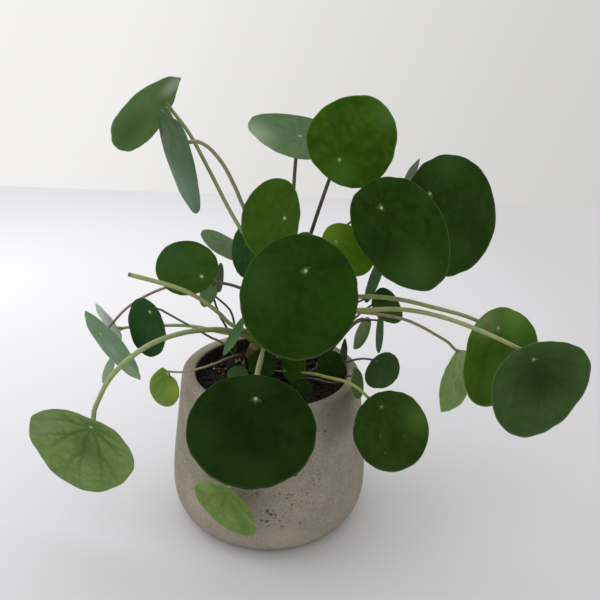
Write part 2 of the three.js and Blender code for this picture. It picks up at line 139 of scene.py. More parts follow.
def colour_ramp(tree, value, stops, manner="LINEAR"):
    """A value turned into colours that run from stop to stop."""
    made = add_node(tree, "ShaderNodeValToRGB", {"Fac": value})
    made.color_ramp.interpolation = manner
    for position, _ in stops[1:-1]:
        made.color_ramp.elements.new(position)
    for stop, (position, colour) in zip(made.color_ramp.elements, stops):
        stop.position = position
        stop.color = colour
    return made.outputs["Color"]


bpy.ops.object.select_all(action="DESELECT")
bpy.ops.mesh.primitive_plane_add(size=2 * FLOOR_HALF_WIDTH, location=(0, FLOOR_BACK - FLOOR_HALF_WIDTH, 0))
bpy.ops.object.transform_apply()
floor = bpy.context.object
floor.name = "floor_sheet"
floor_paint, tree, surface = new_material("pale_sheet", Roughness=0.9, Specular_IOR_Level=0.1)
place = add_node(tree, "ShaderNodeTexCoord").outputs["Object"]
# Painted light: the sheet's colour is lightest at the bright spot at the back left and duller away from it.
tree.links.new(colour_ramp(tree, away_from(tree, place, FLOOR_PAINTED_LIGHT_SPOT), [
    (distance, shade(*colour)) for distance, colour in FLOOR_PAINTED_LIGHT_STOPS]), surface.inputs["Base Color"])
floor.data.materials.append(floor_paint)

bpy.ops.object.light_add(type="AREA", location=WINDOW_PLACE)
window = bpy.context.object
window.data.shape = "SQUARE"
window.data.size = WINDOW_SIZE
window.data.energy = WINDOW_POWER
window.data.color = WINDOW_COLOUR
window.rotation_euler = (Vector(WINDOW_AIM) - Vector(WINDOW_PLACE)).to_track_quat("-Z", "Y").to_euler()

world = bpy.data.worlds.new("daylight")
bpy.context.scene.world = world
world.use_nodes = True
sky = world.node_tree
direction = add_node(sky, "ShaderNodeTexCoord").outputs["Generated"]
side = add_node(sky, "ShaderNodeVectorMath", {0: direction, 1: Vector(BRIGHT_SIDE).normalized()},
                operation="DOT_PRODUCT").outputs["Value"]
around = colour_ramp(sky, maths(sky, "MULTIPLY_ADD", side, 0.5, 0.5), [
    (position, (strength, strength, strength, 1)) for position, strength in ROOM_LIGHT], "B_SPLINE")
height = add_node(sky, "ShaderNodeSeparateXYZ", {"Vector": direction}).outputs["Z"]
overhead = ease(sky, height, *OVERHEAD_HEIGHTS, 0.0, OVERHEAD_LIGHT)
sky.nodes["Background"].inputs["Color"].default_value = (*ROOM_COLOUR, 1)
sky.links.new(maths(sky, "ADD", around, overhead), sky.nodes["Background"].inputs["Strength"])


# The pot
# One cast of rough grey concrete, 110 mm high, with a rounded foot and a thick plain rim. It was poured in a
# mould, so its wall shows sand grains, faint level lines and small open pits, here and there in clusters. The
# inner wall is painted nearly black, for damp and for the shade inside the pot, and the outer wall has a
# painted shadow of the leaves below the rim at the front right, darker and a little green.
POT_SIDES = 128
POT_OUTSIDE = [(55, 0), (59.9, 1.6), (63.9, 5.4), (67.4, 11.5), (69.5, 18.5), (70.3, 27), (69.7, 42),
               (67.6, 62), (65.2, 84), (62.8, 104), (62, 108.6), (60.3, 110)]
POT_INSIDE = [(54.2, 110), (53, 108.6), (53.5, 84), (57, 44), (57, 24), (50, 11)]
PROFILE_STEP = 2.5
TRUE_EDGES = (1, 109.5)
UNEVENNESS = [(0.12, 40), (0.07, 330)]
CLOUD_SCALE = 42.0
GRAIN_SCALE = 900.0
LEVEL_SCALE = 26.0
TEAR_SCALE = 500.0
CONCRETE_LIGHT = (160, 151, 133)
CONCRETE_DARK = (130, 123, 108)
LEVEL_COLOUR = (112, 103, 92)
SAND_COLOUR = (196, 188, 176)
DAMP_AND_SHADE_COLOUR = (36, 33, 28)
DAMP_AND_SHADE_WALL = (54.5, 53.5)
DAMP_AND_SHADE_TOP = (109.8, 108.5)
LEAF_SHADOW_COLOUR = (86, 88, 71)
LEAF_SHADOW_SPOT = (48, -43, 105)
LEAF_SHADOW_REACH = (34, 6)
LEAF_SHADOW_STRENGTH = 0.65
PIT_COLOUR = (66, 50, 40)
PIT_DARKNESS = 0.85
PIT_DEPTH = 1.6
PIT_EDGES = (1.3, 0.6)
PIT_SHAPE = (0.7, 0.7, 1.2)
CROWDING = 0.17
RAGGED = (2.8, 2.8, 2.8)
TORN = (4, 4, 3)
SMALL_PITS = [(330.0, 0.994), (620.0, 0.988)]
PIT_CLUSTERS = [((6, -70, 37), 13), ((18, -66, 49), 10), ((30, -61, 56), 10), ((38, -51, 94), 12),
                ((-58, -36, 59), 8), ((40, 50, 60), 12), ((-30, 60, 35), 11), ((62, 22, 40), 9)]
BIG_PITS = [((2.3, -69.7, 41.7), 1.5, 1), ((4.6, -69.6, 39.7), 1.4, 1), ((7.5, -69.4, 38.5), 1.1, 0.7),
            ((1.8, -70, 34.3), 1.2, 1), ((9.9, -69.3, 34.5), 1.2, 0.6), ((11.3, -69.2, 30.4), 1.1, 0.4),
            ((23.1, -66.3, 30.1), 1.1, 0.7), ((19.6, -64.1, 66.9), 1.1, 1), ((-4.5, -68.3, 54.1), 1, 0.8),
            ((-12.6, -67.3, 53.4), 0.9, 0.7), ((18.1, -66.1, 52.7), 1, 0.6), ((17.7, -67, 45.8), 0.9, 0.6),
            ((17.5, -67.4, 42.5), 0.8, 0.6), ((35.1, -58, 60), 1, 0.8), ((32.2, -60, 57.3), 0.9, 0.4),
            ((27.5, -62.9, 52.2), 0.9, 0.4), ((52.6, -44.2, 51), 0.8, 0.4), ((39.1, -49.3, 103), 1, 0.4),
            ((41.2, -50.3, 85.2), 1, 0.35), ((-61, -29.4, 60.5), 0.8, 0.9), ((-54.4, -40.7, 58.8), 0.8, 0.6),
            ((28, 62, 58), 1.5, 1), ((31, 60, 55), 1.2, 0.8), ((-24, 65, 38), 1.3, 1),
            ((-20, 66, 34), 1, 0.7), ((63.8, 27.5, 44), 1.2, 0.9), ((-64, 22, 70), 1.1, 0.8),
            ((10, 67, 66), 1, 0.6)]


def smooth_path(points, step):
    """Points along a smooth curve through the given ones, about one step apart."""
    points = [Vector(point) for point in points]
    whole = [2 * points[0] - points[1], *points, 2 * points[-1] - points[-2]]
    path = []
    for a, b, c, d in zip(whole, whole[1:], whole[2:], whole[3:]):
        before, span, after = (math.sqrt((end - start).length) for start, end in ((a, b), (b, c), (c, d)))
        leave = ((b - a) / before - (c - a) / (before + span) + (c - b) / span) * span
        arrive = ((c - b) / span - (d - b) / (span + after) + (d - c) / after) * span
        count = max(2, round((c - b).length / step))
        for k in range(count):
            t = k / count
            bend = 3 * (c - b) - 2 * leave - arrive
            path.append(b + leave * t + bend * t ** 2 + (2 * (b - c) + leave + arrive) * t ** 3)
    return [*path, points[-1]]


def turned(profile, sides):
    """A round body, drawn up ring by ring through the (radius, height) pairs of the profile."""
    bpy.ops.object.select_all(action="DESELECT")
    radius, height = profile[0]
    bpy.ops.mesh.primitive_circle_add(vertices=sides, radius=radius * MM, fill_type="NGON",
                                      location=(0, 0, height * MM))
    bpy.ops.object.transform_apply()
    bpy.ops.object.mode_set(mode="EDIT")
    bpy.ops.mesh.select_all(action="SELECT")
    for next_radius, next_height in profile[1:]:
        step_up = (next_height - height) * MM
        bpy.ops.mesh.extrude_region_move(TRANSFORM_OT_translate={"value": (0, 0, step_up)})
        grow = next_radius / radius
        bpy.ops.transform.resize(value=(grow, grow, 1))
        radius, height = next_radius, next_height
    bpy.ops.object.mode_set(mode="OBJECT")
    return bpy.context.object


def face_out(piece):
    """Turns every face of a closed piece outwards and smooths its shading."""
    bpy.ops.object.mode_set(mode="EDIT")
    bpy.ops.mesh.select_all(action="SELECT")
    bpy.ops.mesh.normals_make_consistent(inside=False)
    bpy.ops.object.mode_set(mode="OBJECT")
    piece.data.shade_smooth()


def belongs(piece, name, node):
    """Names a finished piece, and puts it in the plant in place of its plain solid."""
    piece.name = name
    piece.data.name = name
    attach(piece, "root")
    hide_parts(node)


def noisy(tree, place, scale, detail):
    """Soft noise from 0 to 1."""
    return add_node(tree, "ShaderNodeTexNoise", {
        "Vector": place, "Scale": scale, "Detail": detail}).outputs["Fac"]


def blend(tree, factor, under, over):
    """Two colours mixed by a factor."""
    return add_node(tree, "ShaderNodeMix", {"Factor": factor, 6: under, 7: over}, data_type="RGBA").outputs[2]


def shaken(tree, place, warp, amounts):
    """A place moved to and fro by a noise, by these amounts in millimetres."""
    return add_node(tree, "ShaderNodeVectorMath", {0: warp, 1: Vector(amounts) * MM, 2: place},
                    operation="MULTIPLY_ADD").outputs[0]


def emboss(tree, surface, height, strength, depth, raised=False):
    """Fine relief on a surface. What is dark in the height is sunk, or raised instead."""
    bump = add_node(tree, "ShaderNodeBump", {"Height": height, "Strength": strength, "Distance": depth * MM},
                    invert=raised)
    tree.links.new(bump.outputs["Normal"], surface.inputs["Normal"])


outside = [(point.x, point.y) for point in smooth_path([(r, z, 0) for r, z in POT_OUTSIDE], PROFILE_STEP)]
pot = turned(outside + POT_INSIDE, POT_SIDES)
face_out(pot)
for vertex in pot.data.vertices:
    if TRUE_EDGES[0] < vertex.co.z / MM < TRUE_EDGES[1]:
        rough = sum(depth * noise.noise(vertex.co * scale) for depth, scale in UNEVENNESS)
        vertex.co += vertex.normal * rough * MM

concrete, tree, surface = new_material("cast_concrete", Roughness=0.92, Specular_IOR_Level=0.25)
place = add_node(tree, "ShaderNodeTexCoord").outputs["Object"]
clouds = noisy(tree, place, CLOUD_SCALE, 5.0)
grains = noisy(tree, place, GRAIN_SCALE, 3.0)
levels = add_node(tree, "ShaderNodeTexWave", {
    "Vector": place, "Scale": LEVEL_SCALE, "Distortion": 5.0, "Detail": 3.0, "Detail Scale": 2.0},
    wave_type="BANDS", bands_direction="Z").outputs["Fac"]
colour = blend(tree, rise(tree, clouds, 0.3, 0.7), shade(*CONCRETE_DARK), shade(*CONCRETE_LIGHT))
colour = blend(tree, rise(tree, levels, 0.75, 1.0, 0.0, 0.1), colour, shade(*LEVEL_COLOUR))
colour = blend(tree, rise(tree, grains, 0.35, 0.7, 0.0, 0.45), colour, shade(*SAND_COLOUR))
# Painted shadow of the leaves: the wall below the rim at the front right is made darker and a little greener.
from_leaf_shadow = away_from(tree, place, Vector(LEAF_SHADOW_SPOT) * MM)
leaf_shadow = ease(tree, from_leaf_shadow, LEAF_SHADOW_REACH[0] * MM, LEAF_SHADOW_REACH[1] * MM, 0.0, LEAF_SHADOW_STRENGTH)
colour = blend(tree, leaf_shadow, colour, shade(*LEAF_SHADOW_COLOUR))

warp = add_node(tree, "ShaderNodeTexNoise", {
    "Vector": place, "Scale": TEAR_SCALE, "Detail": 2.0}).outputs["Color"]
torn = shaken(tree, place, warp, TORN)
pits = 0.0
for centre, reach, depth in BIG_PITS:
    away = away_from(tree, torn, (Vector(centre) + Vector(TORN) / 2) * MM)
    outer, inner = (edge * reach * MM for edge in PIT_EDGES)
    pits = maths(tree, "MAXIMUM", pits, rise(tree, away, outer, inner, 0.0, depth))
crowd = 0.0
for centre, reach in PIT_CLUSTERS:
    near = rise(tree, away_from(tree, place, Vector(centre) * MM), reach * MM, 0.0)
    crowd = maths(tree, "MAXIMUM", crowd, near)
ragged = add_node(tree, "ShaderNodeMapping", {
    "Vector": shaken(tree, place, warp, RAGGED), "Scale": PIT_SHAPE}).outputs[0]
for scale, shyness in SMALL_PITS:
    cells = add_node(tree, "ShaderNodeTexVoronoi", {"Vector": ragged, "Scale": scale})
    draw = add_node(tree, "ShaderNodeSeparateColor", {"Color": cells.outputs["Color"]}).outputs["Red"]
    open_here = maths(tree, "GREATER_THAN", draw, maths(tree, "MULTIPLY_ADD", crowd, -CROWDING, shyness))
    hollow = rise(tree, cells.outputs["Distance"], 0.5, 0.25, 0.0, 0.7)
    pits = maths(tree, "MAXIMUM", pits, maths(tree, "MULTIPLY", hollow, open_here))
colour = blend(tree, maths(tree, "MULTIPLY", pits, PIT_DARKNESS), colour, shade(*PIT_COLOUR))

# Painted shade and damp: the inner wall above the soil is made nearly black.
parts = add_node(tree, "ShaderNodeSeparateXYZ", {"Vector": place}).outputs
level_place = add_node(tree, "ShaderNodeCombineXYZ", {"X": parts["X"], "Y": parts["Y"]}).outputs[0]
inside = rise(tree, away_from(tree, level_place), DAMP_AND_SHADE_WALL[0] * MM, DAMP_AND_SHADE_WALL[1] * MM)
below_rim = rise(tree, parts["Z"], DAMP_AND_SHADE_TOP[0] * MM, DAMP_AND_SHADE_TOP[1] * MM)
colour = blend(tree, maths(tree, "MULTIPLY", inside, below_rim), colour, shade(*DAMP_AND_SHADE_COLOUR))
tree.links.new(colour, surface.inputs["Base Color"])
emboss(tree, surface, maths(tree, "MULTIPLY_ADD", pits, -PIT_DEPTH, grains), 0.5, 0.5)
pot.data.materials.append(concrete)
belongs(pot, "concrete_pot", "pot")


# The soil
# Dark peaty potting soil fills the pot to a few millimetres below its rim. Its top is crumbly, with loose
# clods, a few white grains of perlite and bits of bark.
SOIL_TOP = 103
SOIL_WALL = [(49.8, 11.3), (56.7, 24.2), (56.7, 43.8), (53.2, 84), (52.7, 100.8)]
SOIL_SIDES = 96
SOIL_RINGS = 16
RING_WIDTH = 3.2
SOIL_SLOPE = 2.2
SLOPE_RADIUS = 61.5
SOIL_LUMP = 1.1
SOIL_CRUMBS = [(0.9, 260), (0.5, 620)]
SOIL_GRAIN = 520.0
SOIL_STOPS = [(0.35, (17, 16, 14)), (0.75, (56, 51, 42))]
SOIL_CLEAR = 50.5
LUMP_ROUGHNESS = 0.28
CLODS = 520
PERLITE_COLOUR = (212, 210, 200)
BARK_COLOUR = (98, 64, 36)
PERLITE = [(-42, 11), (-34, 13), (-38, 5), (-45, 20), (-35, -20), (22, -38), (38, 20), (-5, 40)]
BARK_BY_LEAF = (0.8, 7.9)


def soil_height(x, y):
    """Height of the soil's surface at a place, in millimetres, lowest at the wall of the pot."""
    slope = SOIL_SLOPE * (math.hypot(x, y) / SLOPE_RADIUS) ** 2
    lumps = math.sin(0.19 * x + 1.3) * math.cos(0.23 * y) + 0.5 * math.sin(0.41 * x - 0.37 * y)
    return SOIL_TOP - slope + SOIL_LUMP * lumps


soil = turned(SOIL_WALL, SOIL_SIDES)
bpy.ops.object.mode_set(mode="EDIT")
for ring in range(SOIL_RINGS):
    bpy.ops.mesh.inset(thickness=RING_WIDTH * MM)
bpy.ops.mesh.poke()
bpy.ops.object.mode_set(mode="OBJECT")
for vertex in soil.data.vertices:
    if vertex.co.z > (SOIL_WALL[-1][1] - 0.3) * MM:
        crumble = sum(size * noise.noise(vertex.co * scale) for size, scale in SOIL_CRUMBS)
        vertex.co.z = (soil_height(vertex.co.x / MM, vertex.co.y / MM) + crumble) * MM
face_out(soil)

earth, tree, surface = new_material("potting_soil", Roughness=1.0, Specular_IOR_Level=0.15)
crumbs = noisy(tree, add_node(tree, "ShaderNodeTexCoord").outputs["Object"], SOIL_GRAIN, 6.0)
tree.links.new(colour_ramp(tree, crumbs, [(position, shade(*colour)) for position, colour in SOIL_STOPS]),
               surface.inputs["Base Color"])
emboss(tree, surface, crumbs, 0.9, 1.2)
soil.data.materials.append(earth)
belongs(soil, "potting_soil", "soil")

perlite_white = new_material("perlite", Base_Color=shade(*PERLITE_COLOUR), Roughness=0.8)[0]
bark_brown = new_material("bark_bit", Base_Color=shade(*BARK_COLOUR), Roughness=0.9)[0]


def joined(pieces):
    """Makes one piece of several."""
    bpy.ops.object.select_all(action="DESELECT")
    for piece in pieces:
        piece.select_set(True)
    bpy.context.view_layer.objects.active = pieces[0]
    bpy.ops.object.join()
    return pieces[0]


def scatter(name, places, sizes, stretch, paint, seed):
    """Loose bits that lie on the soil: one rough lump is made, then copied, turned and laid at each place."""
    bpy.ops.object.select_all(action="DESELECT")
    bpy.ops.mesh.primitive_ico_sphere_add(subdivisions=1, radius=1)
    lump = bpy.context.object
    bpy.ops.object.mode_set(mode="EDIT")
    bpy.ops.mesh.select_all(action="SELECT")
    bpy.ops.transform.vertex_random(offset=LUMP_ROUGHNESS, seed=seed)
    bpy.ops.object.mode_set(mode="OBJECT")
    draw = random.Random(seed)
    bits = []
    for x, y in places:
        size = draw.uniform(*sizes)
        bit = lump.copy()
        bit.data = lump.data.copy()
        bpy.context.collection.objects.link(bit)
        turn = Matrix.Rotation(draw.uniform(0, math.tau), 4, "Z")
        tilt = Matrix.Rotation(draw.uniform(-0.5, 0.5), 4, "X")
        scale = Matrix.Diagonal((size * stretch * MM, size * MM, 0.7 * size * MM, 1))
        spot = Vector((x, y, soil_height(x, y) + 0.35 * size)) * MM
        bit.data.transform(Matrix.Translation(spot) @ turn @ tilt @ scale)
        bits.append(bit)
    bpy.data.objects.remove(lump)
    heap = joined(bits)
    heap.data.materials.append(paint)
    belongs(heap, name, "soil")


def spread(count, seed):
    """Random places on the soil, clear of the pot's wall."""
    draw = random.Random(seed)
    spots = []
    for _ in range(count):
        radius = SOIL_CLEAR * math.sqrt(draw.random())
        angle = draw.uniform(0, math.tau)
        spots.append((radius * math.cos(angle), radius * math.sin(angle)))
    return spots


scatter("soil_clods", spread(CLODS, 5), (0.6, 2.3), 1.25, earth, 11)
scatter("soil_perlite", PERLITE, (0.5, 0.9), 1.2, perlite_white, 12)
scatter("soil_bark_bits", [BARK_BY_LEAF, *spread(9, 8)], (0.7, 1.5), 1.9, bark_brown, 13)


# The woody stem
# The old stem stands in the soil left of the middle. It is brown, woody and bare, and the scars of fallen
# leaves ring it.
STEM_PATH = [(-20, 6, 82), (-18, 5, 104), (-12, 2, 124)]
STEM_RADIUS = 4.6
STEM_STEP = 1.0
STEM_FOOT_BROWN = (46, 35, 25)
STEM_TOP_BROWN = (76, 64, 34)
STALK_STEP = 4
STALK_ROUNDNESS = 3


def tube(points, radius, low, high, swell=lambda along: 1.0, step=STALK_STEP, flare=1.0, bare=0.0):
    """A round stalk along a smooth path. Its bare foot has the low colour, which fades into the high one."""
    path = smooth_path(points, step)
    bpy.ops.object.select_all(action="DESELECT")
    bpy.ops.curve.primitive_nurbs_path_add()
    curve = bpy.context.object.data
    curve.splines.clear()
    spline = curve.splines.new("POLY")
    spline.points.add(len(path) - 1)
    for k, (point, spot) in enumerate(zip(spline.points, path)):
        along = k / (len(path) - 1)
        point.co = (*(spot * MM), 1)
        point.radius = swell(along) * (flare if k == len(path) - 1 else 1.0)
    curve.dimensions = "3D"
    curve.bevel_depth = radius * MM
    curve.bevel_resolution = STALK_ROUNDNESS
    curve.use_fill_caps = True
    bpy.ops.object.convert(target="MESH")
    piece = bpy.context.object
    bpy.ops.object.mode_set(mode="EDIT")
    bpy.ops.mesh.select_all(action="SELECT")
    bpy.ops.mesh.remove_doubles(threshold=0.00001)
    bpy.ops.object.mode_set(mode="OBJECT")
    piece.data.shade_smooth()
    tint = piece.data.color_attributes.new("tint", "FLOAT_COLOR", "POINT")
    low, high = Vector(shade(*low)), Vector(shade(*high))
    run = piece.data.uv_layers[0].data
    for face in piece.data.polygons:
        if len(face.vertices) == 4:
            for loop in face.loop_indices:
                vertex = piece.data.loops[loop].vertex_index
                tint.data[vertex].color = low.lerp(high, min(1, max(0, 3 * (run[loop].uv.x - bare))))
    return piece


def stalk_material(name, streaks, gloss):
    """Smooth plant skin that takes its colour from the stalk's tint, with fine streaks and blotches."""
    material, tree, surface = new_material(name, Roughness=gloss, Specular_IOR_Level=0.35)
    tint = add_node(tree, "ShaderNodeVertexColor", layer_name="tint").outputs["Color"]
    place = add_node(tree, "ShaderNodeTexCoord").outputs["Object"]
    blotch = noisy(tree, place, 300.0, 4.0)
    value = rise(tree, blotch, 0.3, 0.7, 1 - streaks, 1 + streaks)
    skin = add_node(tree, "ShaderNodeHueSaturation", {"Value": value, "Color": tint})
    tree.links.new(skin.outputs["Color"], surface.inputs["Base Color"])
    emboss(tree, surface, blotch, streaks, 0.6)
    return material


def scarred(along):
    """Thickness of the woody stem, which swells at each old leaf scar."""
    return 1.0 + 0.1 * abs(math.sin(along * 22)) ** 6 - 0.04 * math.sin(along * 9)


stem = tube(STEM_PATH, STEM_RADIUS, STEM_FOOT_BROWN, STEM_TOP_BROWN, scarred, STEM_STEP)
stem.data.materials.append(stalk_material("woody_bark", 0.35, 0.85))
belongs(stem, "woody_stem", "main_stem")


# The green crown
# The living top of the stem is thick, fleshy and yellow-green, and is browner at its foot. The leaf stalks
# grow out of it in a close spiral, so it is knobbly all along. A side shoot carries the lowest leaves.
CROWN_PATH = [(-10.5, 1.6, 126.5), (-1, 0, 133), (8, 1, 150), (13, 3, 164)]
CROWN_FOOT = (-12.2, 2.1, 123.5)
CROWN_LOW, CROWN_MIDDLE, CROWN_HIGH = (Vector(point) for point in CROWN_PATH[1:])
CROWN_RADIUS = 4.2
SHOULDER_PATH = [(-1, 1, 126.5), (-8, 0.5, 128.5), (-15.5, -3, 135), (-24, -6, 144)]
SHOULDER_RADIUS = 3.1
CROWN_STEP = 1.2
CROWN_COLOURS = [(98, 96, 30), (120, 128, 48)]
SHOULDER_COLOURS = [(98, 94, 28), (124, 126, 48)]
stalk_skin = stalk_material("stalk_skin", 0.12, 0.45)


def knobbly(along):
    """Thickness of the crown, with a knob under each leaf stalk and a rounded top."""
    top = math.sqrt(max(0.02, 1 - max(0.0, (along - 0.85) / 0.15) ** 2))
    return (1.0 + 0.12 * math.sin(along * 31)) * top


def slimming(along):
    """Thickness of the side shoot, which thins out to a stalk."""
    return 1.1 - 0.45 * along


crown = tube([CROWN_FOOT, *CROWN_PATH], CROWN_RADIUS, *CROWN_COLOURS, knobbly, CROWN_STEP)
shoulder = tube(SHOULDER_PATH, SHOULDER_RADIUS, *SHOULDER_COLOURS, slimming, CROWN_STEP)


# The leaves and their stalks
# A leaf is a round flat blade, thin at its edge, joined off its middle to a long stalk from below. Its upper
# side is waxy, with a small pale dot where the stalk joins. Veins run out from the dot and fork. They are
# sunk in the upper side and raised on the lower one.
BLADE_SIDES = 96
BLADE_RINGS = 11
RINGS_WIDTH = 0.96
EDGE_RING = 0.015
FLAT_SPAN = 100
BLADE_THICKNESS = 0.7
EDGE_THICKNESS = 0.5
EDGE_WOBBLE = 0.022
WAVES = 7
VEINS = 10
VEIN_WIDTH = 1.1
VEIN_SHADOW = 2.6
FORK_START = 0.3
FORK_SPREAD = 0.2
DOT_SIZE = 1.35
STAR_SIZE = 4.4
PALE_DOT = (168, 188, 128)
JOINT_DEPTH = 0.4
JOINT_FLARE = 1.3

bpy.ops.object.select_all(action="DESELECT")
bpy.ops.mesh.primitive_circle_add(vertices=BLADE_SIDES, radius=1, fill_type="NGON")
round_sheet = bpy.context.object
bpy.ops.object.mode_set(mode="EDIT")
bpy.ops.mesh.select_all(action="SELECT")
bpy.ops.mesh.inset(thickness=EDGE_RING)
for ring in range(BLADE_RINGS):
    bpy.ops.mesh.inset(thickness=RINGS_WIDTH / (BLADE_RINGS + 1))
bpy.ops.mesh.poke()
bpy.ops.object.mode_set(mode="OBJECT")


def node_group(name, inputs, outputs):
    """An empty shader node group with its named inputs and outputs."""
    group = bpy.data.node_groups.new(name, "ShaderNodeTree")
    for socket, start in inputs.items():
        kind = "Color" if start is None else "Float"
        made = group.interface.new_socket(socket, in_out="INPUT", socket_type=f"NodeSocket{kind}")
        if start is not None:
            made.default_value = start
    for socket, kind in outputs.items():
        group.interface.new_socket(socket, in_out="OUTPUT", socket_type=f"NodeSocket{kind}")
    return group, add_node(group, "NodeGroupInput").outputs, add_node(group, "NodeGroupOutput").inputs


def flat_place(tree):
    """The place on the blade pressed flat, in millimetres from the dot: across, and towards the tip."""
    pressed = add_node(tree, "ShaderNodeUVMap", uv_map="flat").outputs["UV"]
    return add_node(tree, "ShaderNodeVectorMath", {
        0: pressed, 1: (FLAT_SPAN, FLAT_SPAN, 0), 2: (-FLAT_SPAN / 2, -FLAT_SPAN / 2, 0)},
        operation="MULTIPLY_ADD").outputs[0]


skin, given, handed = node_group("leaf_skin", {
    "Body": None, "Light": None, "Vein": None, "Rim": None, "Dot": None, "Veins": 0.3, "Net": 0.1,
    "Specks": 0.0, "Mottle": 0.6, "Star": 0.22}, {"Color": "Color", "Height": "Float"})
place = add_node(skin, "ShaderNodeTexCoord").outputs["Object"]
flat = flat_place(skin)
cross = add_node(skin, "ShaderNodeSeparateXYZ", {"Vector": flat}).outputs
away = away_from(skin, flat)
reach = add_node(skin, "ShaderNodeAttribute", attribute_name="reach").outputs["Fac"]
drift = noisy(skin, place, 45.0, 3.0)
bearing = maths(skin, "ADD", maths(skin, "ARCTAN2", cross["X"], cross["Y"]),
                maths(skin, "MULTIPLY", maths(skin, "SUBTRACT", drift, 0.5), 0.7))
forked = maths(skin, "MAXIMUM", 0.0, maths(skin, "SUBTRACT", reach, FORK_START))
fork_angle = maths(skin, "MULTIPLY", forked, FORK_SPREAD / (1 - FORK_START))
gaps = []
for way in (-1.0, 1.0):
    angle = maths(skin, "MULTIPLY_ADD", fork_angle, way, bearing)
    swing = maths(skin, "ABSOLUTE", maths(skin, "SINE", maths(skin, "MULTIPLY", angle, VEINS / 2)))
    gaps.append(maths(skin, "MULTIPLY", swing, maths(skin, "MULTIPLY", away, 2 / VEINS)))
nearest = maths(skin, "MINIMUM", *gaps)
ridge = maths(skin, "MULTIPLY", ease(skin, nearest, VEIN_WIDTH, 0.0), ease(skin, reach, 0.95, 0.3))
shadow = maths(skin, "MULTIPLY", ease(skin, nearest, VEIN_SHADOW, 0.2), ease(skin, reach, 1.0, 0.3, 0.15))
cells = add_node(skin, "ShaderNodeTexVoronoi", {"Vector": place, "Scale": 150.0},
                 feature="DISTANCE_TO_EDGE").outputs["Distance"]
net = ease(skin, cells, 0.3, 0.0)
broad = noisy(skin, place, 55.0, 2.0)
small = noisy(skin, place, 210.0, 3.0)
patches = maths(skin, "MULTIPLY_ADD", small, 0.45, maths(skin, "MULTIPLY", broad, 0.55))
speck_cells = add_node(skin, "ShaderNodeTexVoronoi", {"Vector": place, "Scale": 330.0}).outputs
speck_draw = add_node(skin, "ShaderNodeSeparateColor", {"Color": speck_cells["Color"]}).outputs["Red"]
specks = maths(skin, "MULTIPLY", ease(skin, speck_cells["Distance"], 0.32, 0.1),
               maths(skin, "MULTIPLY", maths(skin, "GREATER_THAN", speck_draw, 0.93), given["Specks"]))
rays = maths(skin, "ABSOLUTE", maths(skin, "SINE", maths(skin, "MULTIPLY", bearing, VEINS / 4)))
star_edge = maths(skin, "MULTIPLY", ease(skin, rays, 0.0, 0.9, 1.0, 1.6),
                  ease(skin, small, 0.35, 0.65, 0.75, 1.6))
star = ease(skin, maths(skin, "MULTIPLY", away, star_edge), STAR_SIZE, 0.4)
colour = blend(skin, maths(skin, "MULTIPLY", ease(skin, patches, 0.36, 0.64), given["Mottle"]),
               given["Body"], given["Light"])
colour = blend(skin, maths(skin, "MULTIPLY", net, given["Net"]), colour, given["Vein"])
colour = blend(skin, maths(skin, "MULTIPLY", shadow, given["Veins"]), colour, given["Vein"])
ridge_share = maths(skin, "MULTIPLY", ridge, maths(skin, "MULTIPLY", given["Veins"], 0.5))
colour = blend(skin, ridge_share, colour, given["Vein"])
colour = blend(skin, specks, colour, given["Dot"])
colour = blend(skin, ease(skin, reach, 0.972, 0.992, 0.0, 0.6), colour, given["Rim"])
colour = blend(skin, maths(skin, "MULTIPLY", star, given["Star"]), colour, given["Dot"])
colour = blend(skin, ease(skin, away, DOT_SIZE, 0.45, 0.0, 0.9), colour, given["Dot"])
skin.links.new(colour, handed["Color"])
relief = maths(skin, "MULTIPLY_ADD", ridge, -0.7, maths(skin, "MULTIPLY_ADD", net, -0.2, patches))
skin.links.new(relief, handed["Height"])

# Painted light and shade on a leaf: a soft patch of a lighter or darker colour round a spot on the blade.
light_and_shade, given, handed = node_group("leaf_light_and_shade", {
    "Color": None, "Light And Shade": None, "Across": 0.0, "Tipward": 0.0, "Reach": 20.0, "Amount": 0.5},
    {"Color": "Color"})
centre = add_node(light_and_shade, "ShaderNodeCombineXYZ", {"X": given["Across"], "Y": given["Tipward"]}).outputs[0]
away = away_from(light_and_shade, flat_place(light_and_shade), centre)
near = maths(light_and_shade, "MULTIPLY", ease(light_and_shade, maths(light_and_shade, "DIVIDE", away, given["Reach"]), 1.0, 0.0),
             given["Amount"])
light_and_shade.links.new(blend(light_and_shade, near, given["Color"], given["Light And Shade"]), handed["Color"])


def leaf_face(name, body, light, light_and_shade_patches=(), vein=None, rim=None, dot=PALE_DOT, gloss=0.5, shine=0.04,
              raised=False, **amounts):
    """One side of a leaf: its body colour and lighter patches, its darker veins, its paler edge and its dot.

    Each patch is painted light and shade: lighter patches stand for light, sheen and highlights on the blade,
    darker ones for shade that falls on it. A patch is given by its colour, its place across and towards the
    tip in millimetres from the dot, how far it reaches and how strong it is. raised is for a side on which
    the veins stand out.
    """
    material, tree, surface = new_material(name, Roughness=gloss, Specular_IOR_Level=shine)
    vein = vein or [0.74 * part for part in body]
    rim = rim or [part + 46 for part in body]
    group = add_node(tree, "ShaderNodeGroup", node_tree=skin)
    for socket, colour in (("Body", body), ("Light", light), ("Vein", vein), ("Rim", rim), ("Dot", dot)):
        group.inputs[socket].default_value = shade(*colour)
    for socket, value in amounts.items():
        group.inputs[socket].default_value = value
    colour = group.outputs["Color"]
    # Each patch laid on here is painted light and shade on the blade.
    for patch_colour, (across, tipward), width, amount in light_and_shade_patches:
        colour = add_node(tree, "ShaderNodeGroup", {
            "Color": colour, "Light And Shade": shade(*patch_colour), "Across": across, "Tipward": tipward,
            "Reach": width, "Amount": amount}, node_tree=light_and_shade).outputs["Color"]
    tree.links.new(colour, surface.inputs["Base Color"])
    emboss(tree, surface, group.outputs["Height"], 0.25, 0.6, raised)
    return material


